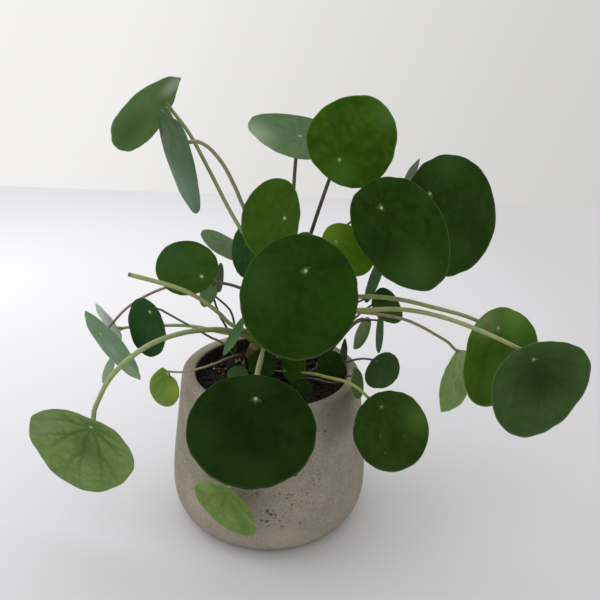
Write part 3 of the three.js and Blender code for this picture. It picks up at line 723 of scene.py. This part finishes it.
class Leaf:
    """Where a blade is, which way it faces and what outline it has.

    Sizes are in millimetres, angles in degrees.
    at is the dot on the upper side. faces is degrees round from the front towards the right, and degrees up.
    turn is how far its tip is turned from hanging straight down. size is width, length, how far its middle
    lies from the dot towards the tip, and how far the tip leans sideways. bend is how far its sides and its
    length rise or fall. lobes is how strongly the outline swells in three places, and where. Each of the
    points is a corner of the outline: where it is round the edge, how far it stands out or in, and how wide
    it is. wave is the edge's ripple.
    """

    def __init__(self, at, faces, turn, size, bend=(0, 0), lobes=(0, 0), points=(), wave=0):
        self.at = Vector(at)
        around, lift = (math.radians(angle) for angle in faces)
        self.normal = Vector((math.sin(around) * math.cos(lift), -math.cos(around) * math.cos(lift),
                              math.sin(lift)))
        down = Vector((math.sin(around) * math.sin(lift), -math.cos(around) * math.sin(lift),
                       -math.cos(lift)))
        self.tip = Matrix.Rotation(math.radians(turn), 3, self.normal) @ down
        self.across = self.tip.cross(self.normal)
        self.width, self.length, self.middle, self.lean = (*size, 0)[:4]
        self.roll, self.bow = (math.radians(angle) or 1e-6 for angle in bend)
        self.swell, self.phase = lobes[0], math.radians(lobes[1])
        self.points = points
        self.wave = wave

    def flat_point(self, x, y):
        """Where a point of the unit disc lies on the blade pressed flat, measured from the dot."""
        out = math.hypot(x, y)
        angle = math.atan2(y, x)
        stretch = 1 + self.swell * math.cos(3 * angle - self.phase)
        for where, amount, width in self.points:
            off = abs((math.degrees(angle) - where + 180) % 360 - 180)
            stretch += amount * max(0, 1 - off / width) ** 2
        stretch += EDGE_WOBBLE * out ** 6 * noise.noise(Vector((4.5 * x, 4.5 * y, self.at.x)))
        edge = out * stretch
        return (edge * (self.width / 2 * math.cos(angle) + self.lean * math.sin(angle)),
                out * self.middle + edge * self.length / 2 * math.sin(angle))

    def point(self, x, y):
        """Where a point of the unit disc lies on the grown blade."""
        flat_x, flat_y = self.flat_point(x, y)
        out = math.hypot(x, y)
        ripple = self.wave * out ** 3 * math.sin(WAVES * math.atan2(y, x) + self.at.x)
        roll_radius = self.width / 2 / self.roll
        bow_radius = (self.length / 2 + self.middle) / self.bow
        lift = roll_radius * (1 - math.cos(flat_x / roll_radius)) + ripple
        return (self.at + self.across * roll_radius * math.sin(flat_x / roll_radius)
                + self.tip * (bow_radius - lift) * math.sin(flat_y / bow_radius)
                + self.normal * (bow_radius - (bow_radius - lift) * math.cos(flat_y / bow_radius)))


def grow_blade(name, leaf, upper, under):
    """Lays the round sheet on the leaf's form, thickens it and puts it in place of the plain blade."""
    bpy.ops.object.select_all(action="DESELECT")
    blade = round_sheet.copy()
    blade.data = round_sheet.data.copy()
    bpy.context.collection.objects.link(blade)
    bpy.context.view_layer.objects.active = blade
    blade.select_set(True)
    mesh = blade.data
    mesh.attributes.new("reach", "FLOAT", "POINT")
    mesh.uv_layers.new(name="flat")
    middle = blade.vertex_groups.new(name="middle")
    spots = [(vertex.co.x, vertex.co.y) for vertex in mesh.vertices]
    for number, (x, y) in enumerate(spots):
        middle.add([number], 1 - math.hypot(x, y) ** 5, "REPLACE")
    mesh.attributes["reach"].data.foreach_set("value", [math.hypot(x, y) for x, y in spots])
    for vertex, (x, y) in zip(mesh.vertices, spots):
        vertex.co = leaf.point(x, y) * MM
    flat_map = mesh.uv_layers["flat"].data
    for loop in mesh.loops:
        flat_x, flat_y = leaf.flat_point(*spots[loop.vertex_index])
        flat_map[loop.index].uv = (0.5 + flat_x / FLAT_SPAN, 0.5 + flat_y / FLAT_SPAN)
    mesh.materials.append(upper)
    mesh.materials.append(under)
    solid = blade.modifiers.new("thickness", "SOLIDIFY")
    solid.thickness = BLADE_THICKNESS * MM
    solid.offset = -1
    solid.vertex_group = "middle"
    solid.thickness_vertex_group = EDGE_THICKNESS
    solid.material_offset = 1
    bpy.ops.object.modifier_apply(modifier=solid.name)
    mesh.shade_smooth()
    belongs(blade, f"{name}_blade", name)


def tapering(along):
    """Thickness of a leaf stalk, which is stoutest at its foot."""
    return 1.12 - 0.22 * along


def grow_leaf(name, leaf, upper, under, foot, via, radius, low, high, stalks, end=7, bare=0.0):
    """A blade with its stalk, which ends square to it under the dot, over a length of end at most."""
    grow_blade(name, leaf, upper, under)
    last = leaf.at - min(end, 0.35 * leaf.width) * leaf.normal
    points = [foot, *via, last, leaf.at - JOINT_DEPTH * leaf.normal]
    stalks.append(tube(points, radius, low, high, tapering, STALK_STEP, JOINT_FLARE, bare))


pale_under = leaf_face("pale_underside", (84, 110, 62), (98, 124, 76), vein=(118, 140, 92), gloss=0.6,
                       shine=0.15, raised=True, Veins=0.4, Net=0.2, Star=0.1)

# The stalks' colours, at the foot and towards the blade
OLIVE_FOOT = (112, 104, 46)
PALE_STALK = (166, 174, 118)
GREEN_STALK = (142, 152, 92)
LILAC_STALK = (148, 130, 122)
BROWN_STALK = (104, 94, 76)
DARK_STALK = (84, 76, 70)
stalks = [crown, shoulder]

# The top leaves
# The highest leaves stand on long stalks that spread out from the top of the crown, brown on those at the
# back. The two on the left hang by a folded and a narrow blade, with their greyish sides to the front; the
# grey is partly painted sheen.
folded_under = leaf_face("folded_underside", (90, 128, 60), (106, 142, 76),
                         [((174, 190, 164), (-16, 1), 14, 0.9), ((66, 94, 46), (10, 30), 22, 0.6)],
                         vein=(108, 132, 84), gloss=0.6, shine=0.12, raised=True, Veins=0.3, Net=0.15)
# Painted sheen: these faces are painted grey and pale where the sky's sheen lies on the blades.
grey_green = leaf_face("grey_green_face", (80, 108, 74), (96, 124, 90), [((110, 139, 116), (0, 60), 34, 0.8)],
                       dot=(112, 138, 110), shine=0.12, Veins=0.25, Net=0.1)
back_grey = leaf_face("back_grey_face", (78, 106, 66), (92, 120, 80), [((142, 164, 132), (1, 34), 24, 0.9)],
                      shine=0.12, Veins=0.2, Net=0.1)
bright_green = leaf_face("bright_green_face", (48, 80, 9), (68, 104, 24),
                         [((74, 114, 36), (8, -8), 18, 0.7), ((84, 120, 56), (6, 44), 20, 0.6)],
                         Veins=0.25, Net=0.25, Mottle=0.7)
back_deep = leaf_face("back_deep_face", (31, 57, 11), (46, 76, 20),
                      [((54, 84, 38), (-26, 0), 24, 0.7), ((44, 72, 28), (20, 40), 26, 0.7)],
                      Veins=0.2, Net=0.15)
upper_deep = leaf_face("upper_deep_face", (28, 53, 10), (44, 74, 18), [((58, 86, 42), (15, 44), 26, 0.75)],
                       Veins=0.2, Net=0.12)
lilac_grey = leaf_face("lilac_grey_face", (150, 156, 146), (164, 170, 160), Veins=0.2)

grow_leaf("leaf_top_left_folded",
          Leaf((-73, 25, 286), (-116, 34), 75, (57, 54, 19, 2), (-14, 0),
               points=((-128, 0.08, 35),), wave=0.28),
          grey_green, folded_under, CROWN_HIGH,
          [(-24.1, 18, 206.3), (-44.4, 20, 243.7), (-54.5, 20, 263.1), (-59.6, 20, 271.3),
           (-66.2, 21, 279.2)],
          1.35, (162, 162, 124), (152, 164, 112), stalks, end=2)
grow_leaf("leaf_top_left_hanging",
          Leaf((-67.4, -12, 285.7), (-36, -21), -5, (26.8, 79.3, 35.2, 1.3), (-26, -5), (0.08, -17),
               ((-120, -0.2, 40),), 0.21),
          grey_green, pale_under, CROWN_HIGH,
          [(-21.1, 14, 221.3), (-26.7, 10, 236.1), (-34.3, 4, 252.7), (-42.5, 0, 263.1), (-48.8, -3, 266.8),
           (-53, -4, 266.4), (-58.8, -3, 267), (-64.8, -4, 275)],
          1.3, (118, 110, 88), (150, 146, 114), stalks, end=3)
grow_leaf("leaf_top_back", Leaf((14.4, 30, 267.3), (28, 61), -96, (47.8, 58.4, 4.3, 1), (8, 0), (0.09, 169),
                           wave=0.21),
          back_grey, pale_under, CROWN_HIGH, [(11, 22, 214)],
          1.3, BROWN_STALK, (112, 104, 92), stalks)
grow_leaf("leaf_top", Leaf((39.6, -5, 259.1), (10, 11), 141, (56.6, 57.6, 14.5, 0.7), (-8, -6), (0.03, -91),
                           wave=0.21),
          bright_green, pale_under, CROWN_HIGH, [(23, 2, 206)],
          1.3, BROWN_STALK, DARK_STALK, stalks)
grow_leaf("leaf_upper_right_back",
          Leaf((100.9, 13, 235.7), (30, 16), 49, (83.7, 83.3, 24.1, -1.9), (-10, -6), (0.01, 115), wave=0.28),
          back_deep, pale_under, CROWN_HIGH, [(38, 22, 194), (60, 28, 206), (78, 28, 222)],
          1.6, GREEN_STALK, BROWN_STALK, stalks)
grow_leaf("leaf_upper_right", Leaf((65, -30, 236), (26, 28), 42, (62, 78, 21), (-8, -8), (0.04, -161),
                              ((10, 0.06, 60), (60, 0.025, 50)), 0.35),
          upper_deep, pale_under, CROWN_HIGH, [(34, 20, 192), (52, 16, 204), (60, 4, 222)],
          1.6, GREEN_STALK, BROWN_STALK, stalks)
grow_leaf("leaf_tip_far_right",
          Leaf((88.5, 50, 234.2), (34, -24), 139, (13, 17, 6, -6), points=((90, 0.5, 50),)),
          lilac_grey, pale_under, CROWN_HIGH, [(40, 26, 200), (72, 46, 222)],
          0.8, GREEN_STALK, BROWN_STALK, stalks)

# The middle leaves
# These stand close round the crown on short steep stalks. They are dark and waxy, and the largest of them
# covers most of the crown from the front. A young leaf is still rolled up at the tip.
mid_green = leaf_face("mid_green_face", (52, 81, 15), (66, 98, 27), Veins=0.14, Net=0.15, Star=0.12)
centre_deep = leaf_face("centre_deep_face", (29, 55, 8), (43, 74, 16),
                        [((50, 79, 32), (26, 14), 26, 0.75), ((40, 76, 9), (-27, 10), 24, 0.5)],
                        Veins=0.2, Net=0.14)
# Painted light: this face is painted lighter and yellower where light shines through the blade.
sunny_green = leaf_face("sunny_green_face", (72, 112, 15), (86, 126, 29),
                        [((120, 146, 46), (-4, -12), 26, 0.8)], Veins=0.2, Net=0.2)
left_green = leaf_face("left_green_face", (46, 76, 20), (58, 91, 32), [((54, 82, 44), (0, 30), 26, 0.6)],
                       Veins=0.14, Net=0.15)
soft_grey = leaf_face("soft_grey_face", (98, 126, 86), (116, 142, 104), dot=(120, 146, 104),
                      Veins=0.25, Net=0.1)
blue_green = leaf_face("blue_green_face", (40, 74, 32), (54, 90, 46), dot=(62, 96, 50), Veins=0.2, Net=0.1)
dark_grey_green = leaf_face("dark_grey_green_face", (56, 88, 46), (74, 104, 62),
                            [((84, 112, 64), (-6, 10), 12, 0.7)], dot=(70, 100, 56), Veins=0.25, Net=0.1)
bud_green = leaf_face("bud_green_face", (98, 114, 54), (112, 128, 66), Veins=0.3, Net=0.15)

grow_leaf("leaf_upper_middle",
          Leaf((6.7, -10, 222), (-31, 21), -77, (53.4, 43.8, 10.6, -1.1), (-6, 0), (0.02, -119), wave=0.21),
          mid_green, pale_under, CROWN_HIGH, [(10, 0, 192)],
          1.2, GREEN_STALK, BROWN_STALK, stalks)
grow_leaf("leaf_centre", Leaf((21, -60, 205), (0, 20), -12, (69, 74, 16), (-8, -8), wave=0.28),
          centre_deep, pale_under, CROWN_HIGH, [(15, -15, 188), (19, -38, 201)],
          1.7, GREEN_STALK, PALE_STALK, stalks)
grow_leaf("leaf_behind_right", Leaf((40, -8, 207), (34, 37), 51, (36, 40, 10), (-8, 0), wave=0.21),
          sunny_green, pale_under, CROWN_HIGH, [(24, 2, 186), (33, 2, 198)],
          1.0, GREEN_STALK, BROWN_STALK, stalks)
grow_leaf("leaf_left", Leaf((-45, -20, 184.4), (0, 46), -122, (39, 41, 12), (-8, 0), wave=0.17),
          left_green, pale_under, CROWN_MIDDLE, [(-6, 0, 163), (-22, -3, 171), (-34, -8, 176)],
          1.0, GREEN_STALK, BROWN_STALK, stalks)
grow_leaf("leaf_left_grey",
          Leaf((-34, 32, 188.3), (62, 57), -160, (25.4, 38.8, 1.6, -1.4), (-8, 0), wave=0.14),
          soft_grey, pale_under, CROWN_MIDDLE, [(-8, 14, 164), (-24, 27, 177)],
          0.8, GREEN_STALK, BROWN_STALK, stalks)
grow_leaf("leaf_behind_centre",
          Leaf((-20.2, 13, 196.3), (-39, 11), 0, (23.6, 36.9, 4.5, -0.8), (0, -8), wave=0.14),
          blue_green, pale_under, CROWN_HIGH, [(0, 14, 184)],
          0.9, GREEN_STALK, BROWN_STALK, stalks)
grow_leaf("leaf_hanging_by_stem",
          Leaf((-21.3, -32, 152.5), (-75, 37), 15, (16.5, 24, 4, -1.8),
               points=((-68, 0.15, 45), (90, 0.15, 45)), wave=0.1),
          dark_grey_green, pale_under, CROWN_LOW, [(-5, -9, 148), (-9, -24, 154)],
          0.9, OLIVE_FOOT, BROWN_STALK, stalks, end=3)
grow_leaf("leaf_young", Leaf((16.3, -8, 206), (0, 40), 100, (12, 14, 4), (40, 0)),
          bud_green, pale_under, CROWN_HIGH, [(15, -2, 180)],
          0.7, GREEN_STALK, PALE_STALK, stalks)

# The left leaves
# The oldest leaves hang out over the left side of the pot on long arching stalks. Most are turned to the
# window, pale and greyish, and the grey of the largest of them is partly painted sheen; the lowest is large,
# light green and clearly veined, painted lighter where light shines through it. One stalk has lost its leaf,
# and its cut tip has dried brown.
# Painted sheen: this face is painted grey, with painted highlights along its middle, where the sky's sheen
# lies on it.
far_grey = leaf_face("far_grey_face", (98, 136, 96), (120, 156, 118),
                     [((150, 176, 146), (0, 14), 15, 0.4), ((144, 164, 118), (0, 34), 18, 0.7)],
                     shine=0.12, Veins=0.25, Net=0.1)
palest_grey = leaf_face("palest_grey_face", (188, 200, 188), (200, 210, 198), dot=(200, 210, 198),
                        shine=0.1, Veins=0.15, Net=0.1)
low_grey = leaf_face("low_grey_face", (120, 144, 110), (134, 158, 124), dot=(134, 158, 124),
                     shine=0.1, Veins=0.25, Net=0.1)
# Painted light: this face is painted light and yellow-green where light shines through the blade.
veined_green = leaf_face("veined_green_face", (107, 134, 73), (125, 152, 88),
                         [((66, 90, 34), (-3, 20), 22, 0.65), ((118, 142, 112), (34, 0), 28, 0.2),
                          ((124, 142, 104), (35, 23), 22, 0.5)],
                         vein=(66, 92, 36), rim=(128, 128, 96), Veins=0.55, Net=0.18, Mottle=0.8)

grow_leaf("leaf_far_left", Leaf((-119.3, 0, 131.6), (-38, -20), 27, (39.5, 56.1, 12.2, 0.6), (-8, -6),
                                points=((-94, 0.12, 40), (96, 0.12, 40)), wave=0.21),
          far_grey, pale_under, CROWN_MIDDLE,
          [(-22, -1, 170), (-41, 2, 172.5), (-57, 4, 171), (-66.3, 4, 168.6), (-77.7, 6, 164.1),
           (-91.8, 6, 156.5), (-102.4, 5, 148.6)],
          1.0, OLIVE_FOOT, LILAC_STALK, stalks)
grow_leaf("leaf_far_left_back",
          Leaf((-115.9, 20, 126.2), (-44, -22), -156, (23.2, 30.6, 5.8, 0.4),
               points=((82, 0.15, 40),), wave=0.14),
          palest_grey, pale_under, CROWN_LOW,
          [(-32.9, 2, 134.9), (-58.5, 10, 135.6), (-77.4, 16, 132.6), (-96, 22, 128.5), (-104.7, 24, 126.6),
           (-110, 23.4, 126)],
          1.1, OLIVE_FOOT, (158, 172, 124), stalks, end=2)
grow_leaf("leaf_far_left_low", Leaf((-121.1, 30, 97), (-58, 31), 16, (15.5, 20.8, 9.2, -0.5)),
          low_grey, pale_under, CROWN_LOW,
          [(-32.9, 4, 134.9), (-58.5, 12, 135.2), (-77.4, 18, 132.2), (-96, 24, 127.8), (-107, 26.5, 125),
           (-114.5, 28, 121.4), (-119, 31, 112), (-120, 32, 102)],
          0.8, OLIVE_FOOT, (140, 150, 110), stalks, end=2)
grow_leaf("leaf_low_left",
          Leaf((-108, -70, 101), (-17, -12), -27, (72, 72, 26, 3), (6, 4), (0.06, -43), wave=0.42),
          veined_green, pale_under, CROWN_LOW,
          [(-15, -3, 135.5), (-31.5, -10, 142.7), (-43.5, -20, 146.8), (-57.5, -34, 150.1),
           (-73.3, -50, 149.4), (-87.1, -59, 141.3), (-97.8, -61, 128.8), (-104.4, -62, 115.8),
           (-107.4, -63, 108.3)],
          1.7, OLIVE_FOOT, (150, 164, 106), stalks, end=2.5)
stalks.append(tube([CROWN_LOW, (-26.8, -10, 146.6), (-33.8, -18, 157.8), (-45.2, -28, 172),
                    (-56.2, -36, 181.5), (-73.2, -42, 189), (-84, -46.4, 193.5)],
                   1.4, OLIVE_FOOT, (160, 166, 112)))
stalks.append(tube([(-82.6, -46, 193), (-85, -46.8, 193.9)], 1.25, (132, 116, 96), (112, 96, 84), step=1))

# The front leaves
# Three leaves hang over the front rim: a very large dark one, a small light one below it, painted paler where
# light shines through it, and a speckled one at the right, whose stalk comes up from the foot of the plant.
shaded_green = leaf_face("shaded_green_face", (20, 40, 7), (32, 54, 13),
                         [((15, 32, 6), (2, 20), 24, 0.6), ((36, 60, 20), (0, -10), 16, 0.5),
                          ((34, 58, 20), (28, 24), 20, 0.7), ((34, 56, 18), (-4, 46), 20, 0.7)],
                         shine=0.02, Veins=0.2, Net=0.08)
# Painted light: this face is painted light and yellow-green where light shines through the blade.
backlit_green = leaf_face("backlit_green_face", (98, 126, 57), (118, 144, 76),
                        [((78, 106, 44), (0, 12), 14, 0.4), ((136, 148, 90), (20, 10), 12, 0.6)],
                        vein=(76, 102, 44), rim=(136, 148, 84), dot=(112, 136, 68),
                        Veins=0.4, Net=0.2, Mottle=0.8)
speckled_green = leaf_face("speckled_green_face", (34, 57, 15), (50, 76, 25),
                           [((64, 94, 36), (-20, 16), 18, 0.9)],
                           vein=(26, 48, 10), dot=(100, 124, 84), Veins=0.3, Net=0.2, Specks=0.3)

grow_leaf("leaf_front", Leaf((-5, -90, 137), (4, 52), -7, (74, 66, 18), (-6, -8), wave=0.28),
          shaded_green, pale_under, CROWN_LOW,
          [(-4.6, -22, 139), (-4, -50, 142), (-4.8, -72, 142)],
          1.1, OLIVE_FOOT, (104, 116, 60), stalks)
grow_leaf("leaf_front_low",
          Leaf((-22, -93, 75), (-32, -10), -15, (48.3, 43.3, 20.2, 1.9), (-10, -8), (0.05, 64), wave=0.28),
          backlit_green, pale_under, CROWN_LOW,
          [(-6, -30, 134), (-9, -62, 124), (-14, -80, 108), (-17, -86, 90)],
          1.1, GREEN_STALK, PALE_STALK, stalks)
grow_leaf("leaf_front_right", Leaf((70, -70, 123), (12, 30), 20, (48, 49, 16), (-6, -6), wave=0.5),
          speckled_green, pale_under, (-14, 3, 114),
          [(0, 3, 106.4), (12, 1, 106.4), (20.2, -6, 110), (24.3, -16, 115.3), (28.8, -26, 120.3),
           (32.5, -34, 123.9), (36.4, -40, 126), (48.5, -52, 129.5), (56, -60, 129.5)],
          1.05, (58, 52, 26), (140, 150, 76), stalks)

# The right leaves
# Two large leaves and a narrow one reach far out to the right on long level stalks. The narrow one shows a
# light, clearly veined side to the front.
dusky_green = leaf_face("dusky_green_face", (57, 82, 41), (69, 95, 53), [((34, 54, 16), (-2, 14), 28, 0.85)],
                        Veins=0.3, Net=0.12)
right_green = leaf_face("right_green_face", (60, 92, 20), (74, 108, 32),
                        [((100, 138, 60), (-16, -5), 22, 0.8), ((118, 138, 84), (10, -9), 20, 0.8),
                         ((100, 86, 50), (9, -3), 6, 0.5), ((88, 122, 42), (2, 38), 24, 0.8)],
                        Veins=0.25, Net=0.15)
narrow_green = leaf_face("narrow_green_face", (126, 156, 82), (146, 172, 104),
                         [((92, 130, 62), (4, 30), 14, 0.5)],
                         vein=(168, 182, 138), dot=(128, 152, 88), Veins=0.5, Net=0.15)

grow_leaf("leaf_far_right",
          Leaf((168, -40, 144), (-6, 7), 17, (63, 65, 21, 8), (-10, -8), (0.05, -131), wave=0.35),
          dusky_green, pale_under, CROWN_MIDDLE,
          [(30, -6, 157), (56, -12, 161.5), (87, -20, 166.5), (112, -28, 165), (140, -34, 157)],
          1.5, (122, 136, 68), (148, 156, 100), stalks)
grow_leaf("leaf_right", Leaf((155, 0, 147), (25, 17), 6, (66, 66, 20, 5), (-10, -6), (0.07, 166), wave=0.35),
          right_green, pale_under, CROWN_MIDDLE,
          [(30, 1, 161), (57, 0, 166.5), (84, 2, 165), (110, 4, 159), (136, 8, 151)],
          1.5, (136, 146, 80), (150, 150, 104), stalks)
grow_leaf("leaf_right_narrow",
          Leaf((131.9, 10, 124.6), (111, 13), 7, (30, 70.5, 27.9, -13.6), (-10, -6),
               points=((90, 0.2, 45),), wave=0.21),
          narrow_green, narrow_green, CROWN_MIDDLE,
          [(30, 4, 151), (58, 5, 153), (90.1, 6, 148.7), (102.6, 7, 143.5), (114, 8, 137),
           (124.8, 8.6, 130.3)],
          1.1, OLIVE_FOOT, (148, 136, 104), stalks, end=1.5)

# The back leaves
# Two more leaves lean out at the back on stalks of the same kind, so that the plant isn't bare there. They
# are dark and round like those in the middle.
grow_leaf("leaf_back", Leaf((15, 66, 150), (170, 34), 0, (44, 46, 13), (-8, -6), wave=0.28),
          mid_green, pale_under, CROWN_MIDDLE, [(12, 22, 160), (14, 44, 162)],
          1.3, GREEN_STALK, PALE_STALK, stalks)
grow_leaf("leaf_back_right", Leaf((88, 62, 190), (140, 32), 0, (42, 46, 13), (-8, -6), wave=0.28),
          back_deep, pale_under, CROWN_HIGH, [(36, 24, 184), (62, 42, 194)],
          1.3, GREEN_STALK, PALE_STALK, stalks)


def bundle(name, stalks, node):
    """Makes one piece of the stalks of one plant."""
    for stalk in stalks:
        stalk.data.materials.append(stalk_skin)
    belongs(joined(stalks), name, node)


bundle("crown_with_stalks", stalks, "crown_and_stalks")


# The offsets
# Young plants come up through the soil beside the old stem. Each is a small clump of leaves on thin brown
# stalks that grow from one place.
COLLAR_TOP = 104
COLLAR_RADIUS = 2.1
COLLAR_COLOURS = [(92, 74, 44), (116, 112, 58)]
THIN = 0.8
offset_dark = leaf_face("offset_dark_face", (37, 72, 33), (52, 90, 50), Veins=0.2, Net=0.1)
offset_grey = leaf_face("offset_grey_face", (78, 104, 66), (94, 120, 80), dot=(94, 120, 80),
                        Veins=0.25, Net=0.1)
offset_yellow = leaf_face("offset_yellow_face", (122, 156, 66), (138, 168, 80),
                          [((160, 180, 72), (-8, 10), 12, 0.8)], Veins=0.3, Net=0.15)
offset_round = leaf_face("offset_round_face", (56, 84, 24), (68, 98, 34), [((34, 58, 22), (0, -4), 16, 0.8)],
                         dot=(80, 108, 52), Veins=0.25, Net=0.1)
offset_rim = leaf_face("offset_rim_face", (69, 91, 46), (83, 105, 58), dot=(86, 112, 66),
                       Veins=0.25, Net=0.1)
offset_dusky = leaf_face("offset_dusky_face", (55, 80, 41), (68, 92, 51), dot=(74, 100, 58),
                         Veins=0.25, Net=0.12)
offset_slim = leaf_face("offset_slim_face", (58, 84, 44), (74, 100, 58), dot=(74, 100, 58),
                        Veins=0.25, Net=0.1)
offset_shade = leaf_face("offset_shade_face", (28, 52, 12), (40, 66, 22), dot=(44, 70, 26),
                         Veins=0.3, Net=0.1)
offset_inner = leaf_face("offset_inner_face", (42, 72, 18), (54, 86, 26), dot=(120, 150, 84),
                         Star=0.12, Veins=0.25, Net=0.1)
offset_mossy = leaf_face("offset_mossy_face", (44, 72, 26), (56, 86, 36), dot=(56, 86, 36),
                         Veins=0.25, Net=0.1)
offset_spike = leaf_face("offset_spike_face", (34, 52, 26), (46, 66, 36), dot=(46, 66, 36),
                         Veins=0.25, Net=0.1)


def grow_offset(name, foot, low, leaves, bare=0.0):
    """A young plant: a short collar in the soil, and its leaves on thin stalks out of it, darker low down."""
    base = Vector((*foot[:2], COLLAR_TOP))
    thin = [tube([foot, (*foot[:2], COLLAR_TOP + 0.6)], COLLAR_RADIUS, *COLLAR_COLOURS, step=2)]
    for leaf_name, leaf, upper, slot, colour, via in leaves:
        grow_leaf(leaf_name, leaf, upper, pale_under, base, via, THIN, low, colour, thin, bare=bare)
    bundle(f"{name}_thin_stalks", thin, f"{name}_stalks")


grow_offset("offset_left", (-26, 22, 94), (92, 78, 46), [
    ("offset_leaf_left_dark",
     Leaf((-81.9, -10, 154.1), (-35, 0), -22, (36.9, 44.9, 15, -0.9), (-8, -6), wave=0.21),
     offset_dark, "leaf_deep", (134, 138, 106),
     [(-37.2, 20, 118.9), (-44.2, 18, 123.1), (-55.3, 12, 132.9), (-64.7, 6, 141.4), (-73, 1, 149)]),
    ("offset_leaf_left_thin", Leaf((-37.4, 15, 166), (80, 4), 172, (17, 20, 4.8, 1.8)),
     offset_grey, "leaf_pale", (96, 82, 62), [(-30, 18, 122), (-33, 14, 133.3), (-39.1, 14, 145.5)]),
    ("offset_leaf_left_tiny", Leaf((-44.5, 12, 161), (-50, 43), 47, (18.1, 30.3, -4, 2.4)),
     offset_grey, "leaf_pale", (96, 82, 62), [(-28, 16, 126), (-27.5, 10, 140), (-30.5, 12, 148.2)])])
grow_offset("offset_front_left", (-24, -9, 94), (52, 42, 28), [
    ("offset_leaf_rim_left", Leaf((-67.3, -30, 118.6), (29, 12), -18, (20.7, 23.6, 10.4, -3.4),
                                  points=((-88, 0.22, 40), (-112, 0.1, 12), (-125, -0.18, 16)), wave=0.14),
     offset_yellow, "leaf_fresh", (152, 152, 122),
     [(-18, -1, 110), (-18, -2, 117), (-20, -7, 123), (-27, -12.5, 124), (-38.2, -18, 120.9),
      (-49.8, -22, 118.3), (-60, -26, 118)]),
    ("offset_leaf_soil_grey", Leaf((-21.5, -8, 111), (7, 70), -34, (14.5, 14, 3)),
     offset_slim, "leaf_pale", (100, 96, 60), []),
    ("offset_leaf_shade", Leaf((-7, -6, 120), (-20, 25), 23, (20, 21, 4)),
     offset_shade, "leaf_mid", (66, 58, 34), [])], bare=0.3)
grow_offset("offset_front_right", (22, -2, 94), (72, 60, 36), [
    ("offset_leaf_inside_right", Leaf((41, -2, 118), (20, 22), 3, (21, 23, 4), (0, -6), wave=0.1),
     offset_shade, "leaf_deep", (96, 84, 56), []),
    ("offset_leaf_inside_middle",
     Leaf((9.1, -8, 112.6), (-2, 35), 129, (22.4, 19.6, 7.9, -3.9), wave=0.1),
     offset_inner, "leaf_mid", (90, 84, 50), []),
    ("offset_leaf_inside_front", Leaf((19.9, -19, 108), (13, 50), 6, (16.9, 15.3, 3.6, 0.6), wave=0.1),
     offset_shade, "leaf_mid", (90, 84, 50), []),
    ("offset_leaf_rim_right",
     Leaf((57, -36, 125), (64, 12), -2, (18.5, 21, 5.4, -1.6), points=((-90, 0.25, 40),)),
     offset_rim, "leaf_deep", (96, 84, 62), [(32, -8, 106.5), (42, -13, 107), (50, -24, 115)])])
grow_offset("offset_right", (34, 20, 94), (84, 70, 42), [
    ("offset_leaf_right_round",
     Leaf((82.2, 45, 148), (36, 29), -5, (26.5, 27.5, 5.8, -3.4), (0, -6), (0.07, 25), wave=0.1),
     offset_round, "leaf_mid", (96, 84, 62), [(46, 26, 122), (62, 36, 138)]),
    ("offset_leaf_right_narrow", Leaf((68.6, 45, 153.9), (-76, 23), 179, (18.8, 38.5, 11.2, -4.3)),
     offset_mossy, "leaf_pale", (96, 84, 62), [(44, 28, 120), (58, 39, 144)]),
    ("offset_leaf_right_hanging",
     Leaf((70.4, 33, 134.2), (105, -25), 9, (20.1, 24.2, 10.8, 1.7), points=((90, 0.15, 45),)),
     offset_slim, "leaf_pale", (96, 84, 62), [(44, 24, 120), (58, 30, 134)]),
    ("offset_leaf_right_slim", Leaf((77.3, 26, 138), (67, 5), -11, (18.1, 30, 9.2, -0.7)),
     offset_slim, "leaf_pale", (90, 74, 60), [(46, 20, 121), (60, 22, 138)]),
    ("offset_leaf_right_dark",
     Leaf((73.9, 0, 118.5), (8, 22), 30, (27.6, 23.1, 8.2, 1.7), (-6, -6), (0.03, 1), wave=0.14),
     offset_dusky, "leaf_deep", (96, 84, 66), [(45, 7, 111), (55, 2, 117), (64, 2, 119)]),
    ("offset_leaf_spike",
     Leaf((51.2, 12, 112.2), (68, 7), 155, (15, 19, 4.4, -0.3), points=((90, 0.2, 50),)),
     offset_spike, "leaf_deep", (96, 84, 62), [(43, 15, 110)])])
grow_offset("offset_back", (4, 30, 94), (92, 78, 46), [
    ("offset_leaf_back", Leaf((18, 54, 128), (165, 40), 0, (24, 25, 7), (-6, -6), wave=0.14),
     mid_green, "leaf_mid", (96, 84, 62), [(9, 38, 118)]),
    ("offset_leaf_back_left", Leaf((-14, 50, 134), (-160, 36), 0, (22, 24, 6), (-6, -6), wave=0.14),
     mid_green, "leaf_mid", (96, 84, 62), [(-2, 36, 120)])])
bpy.data.objects.remove(round_sheet)
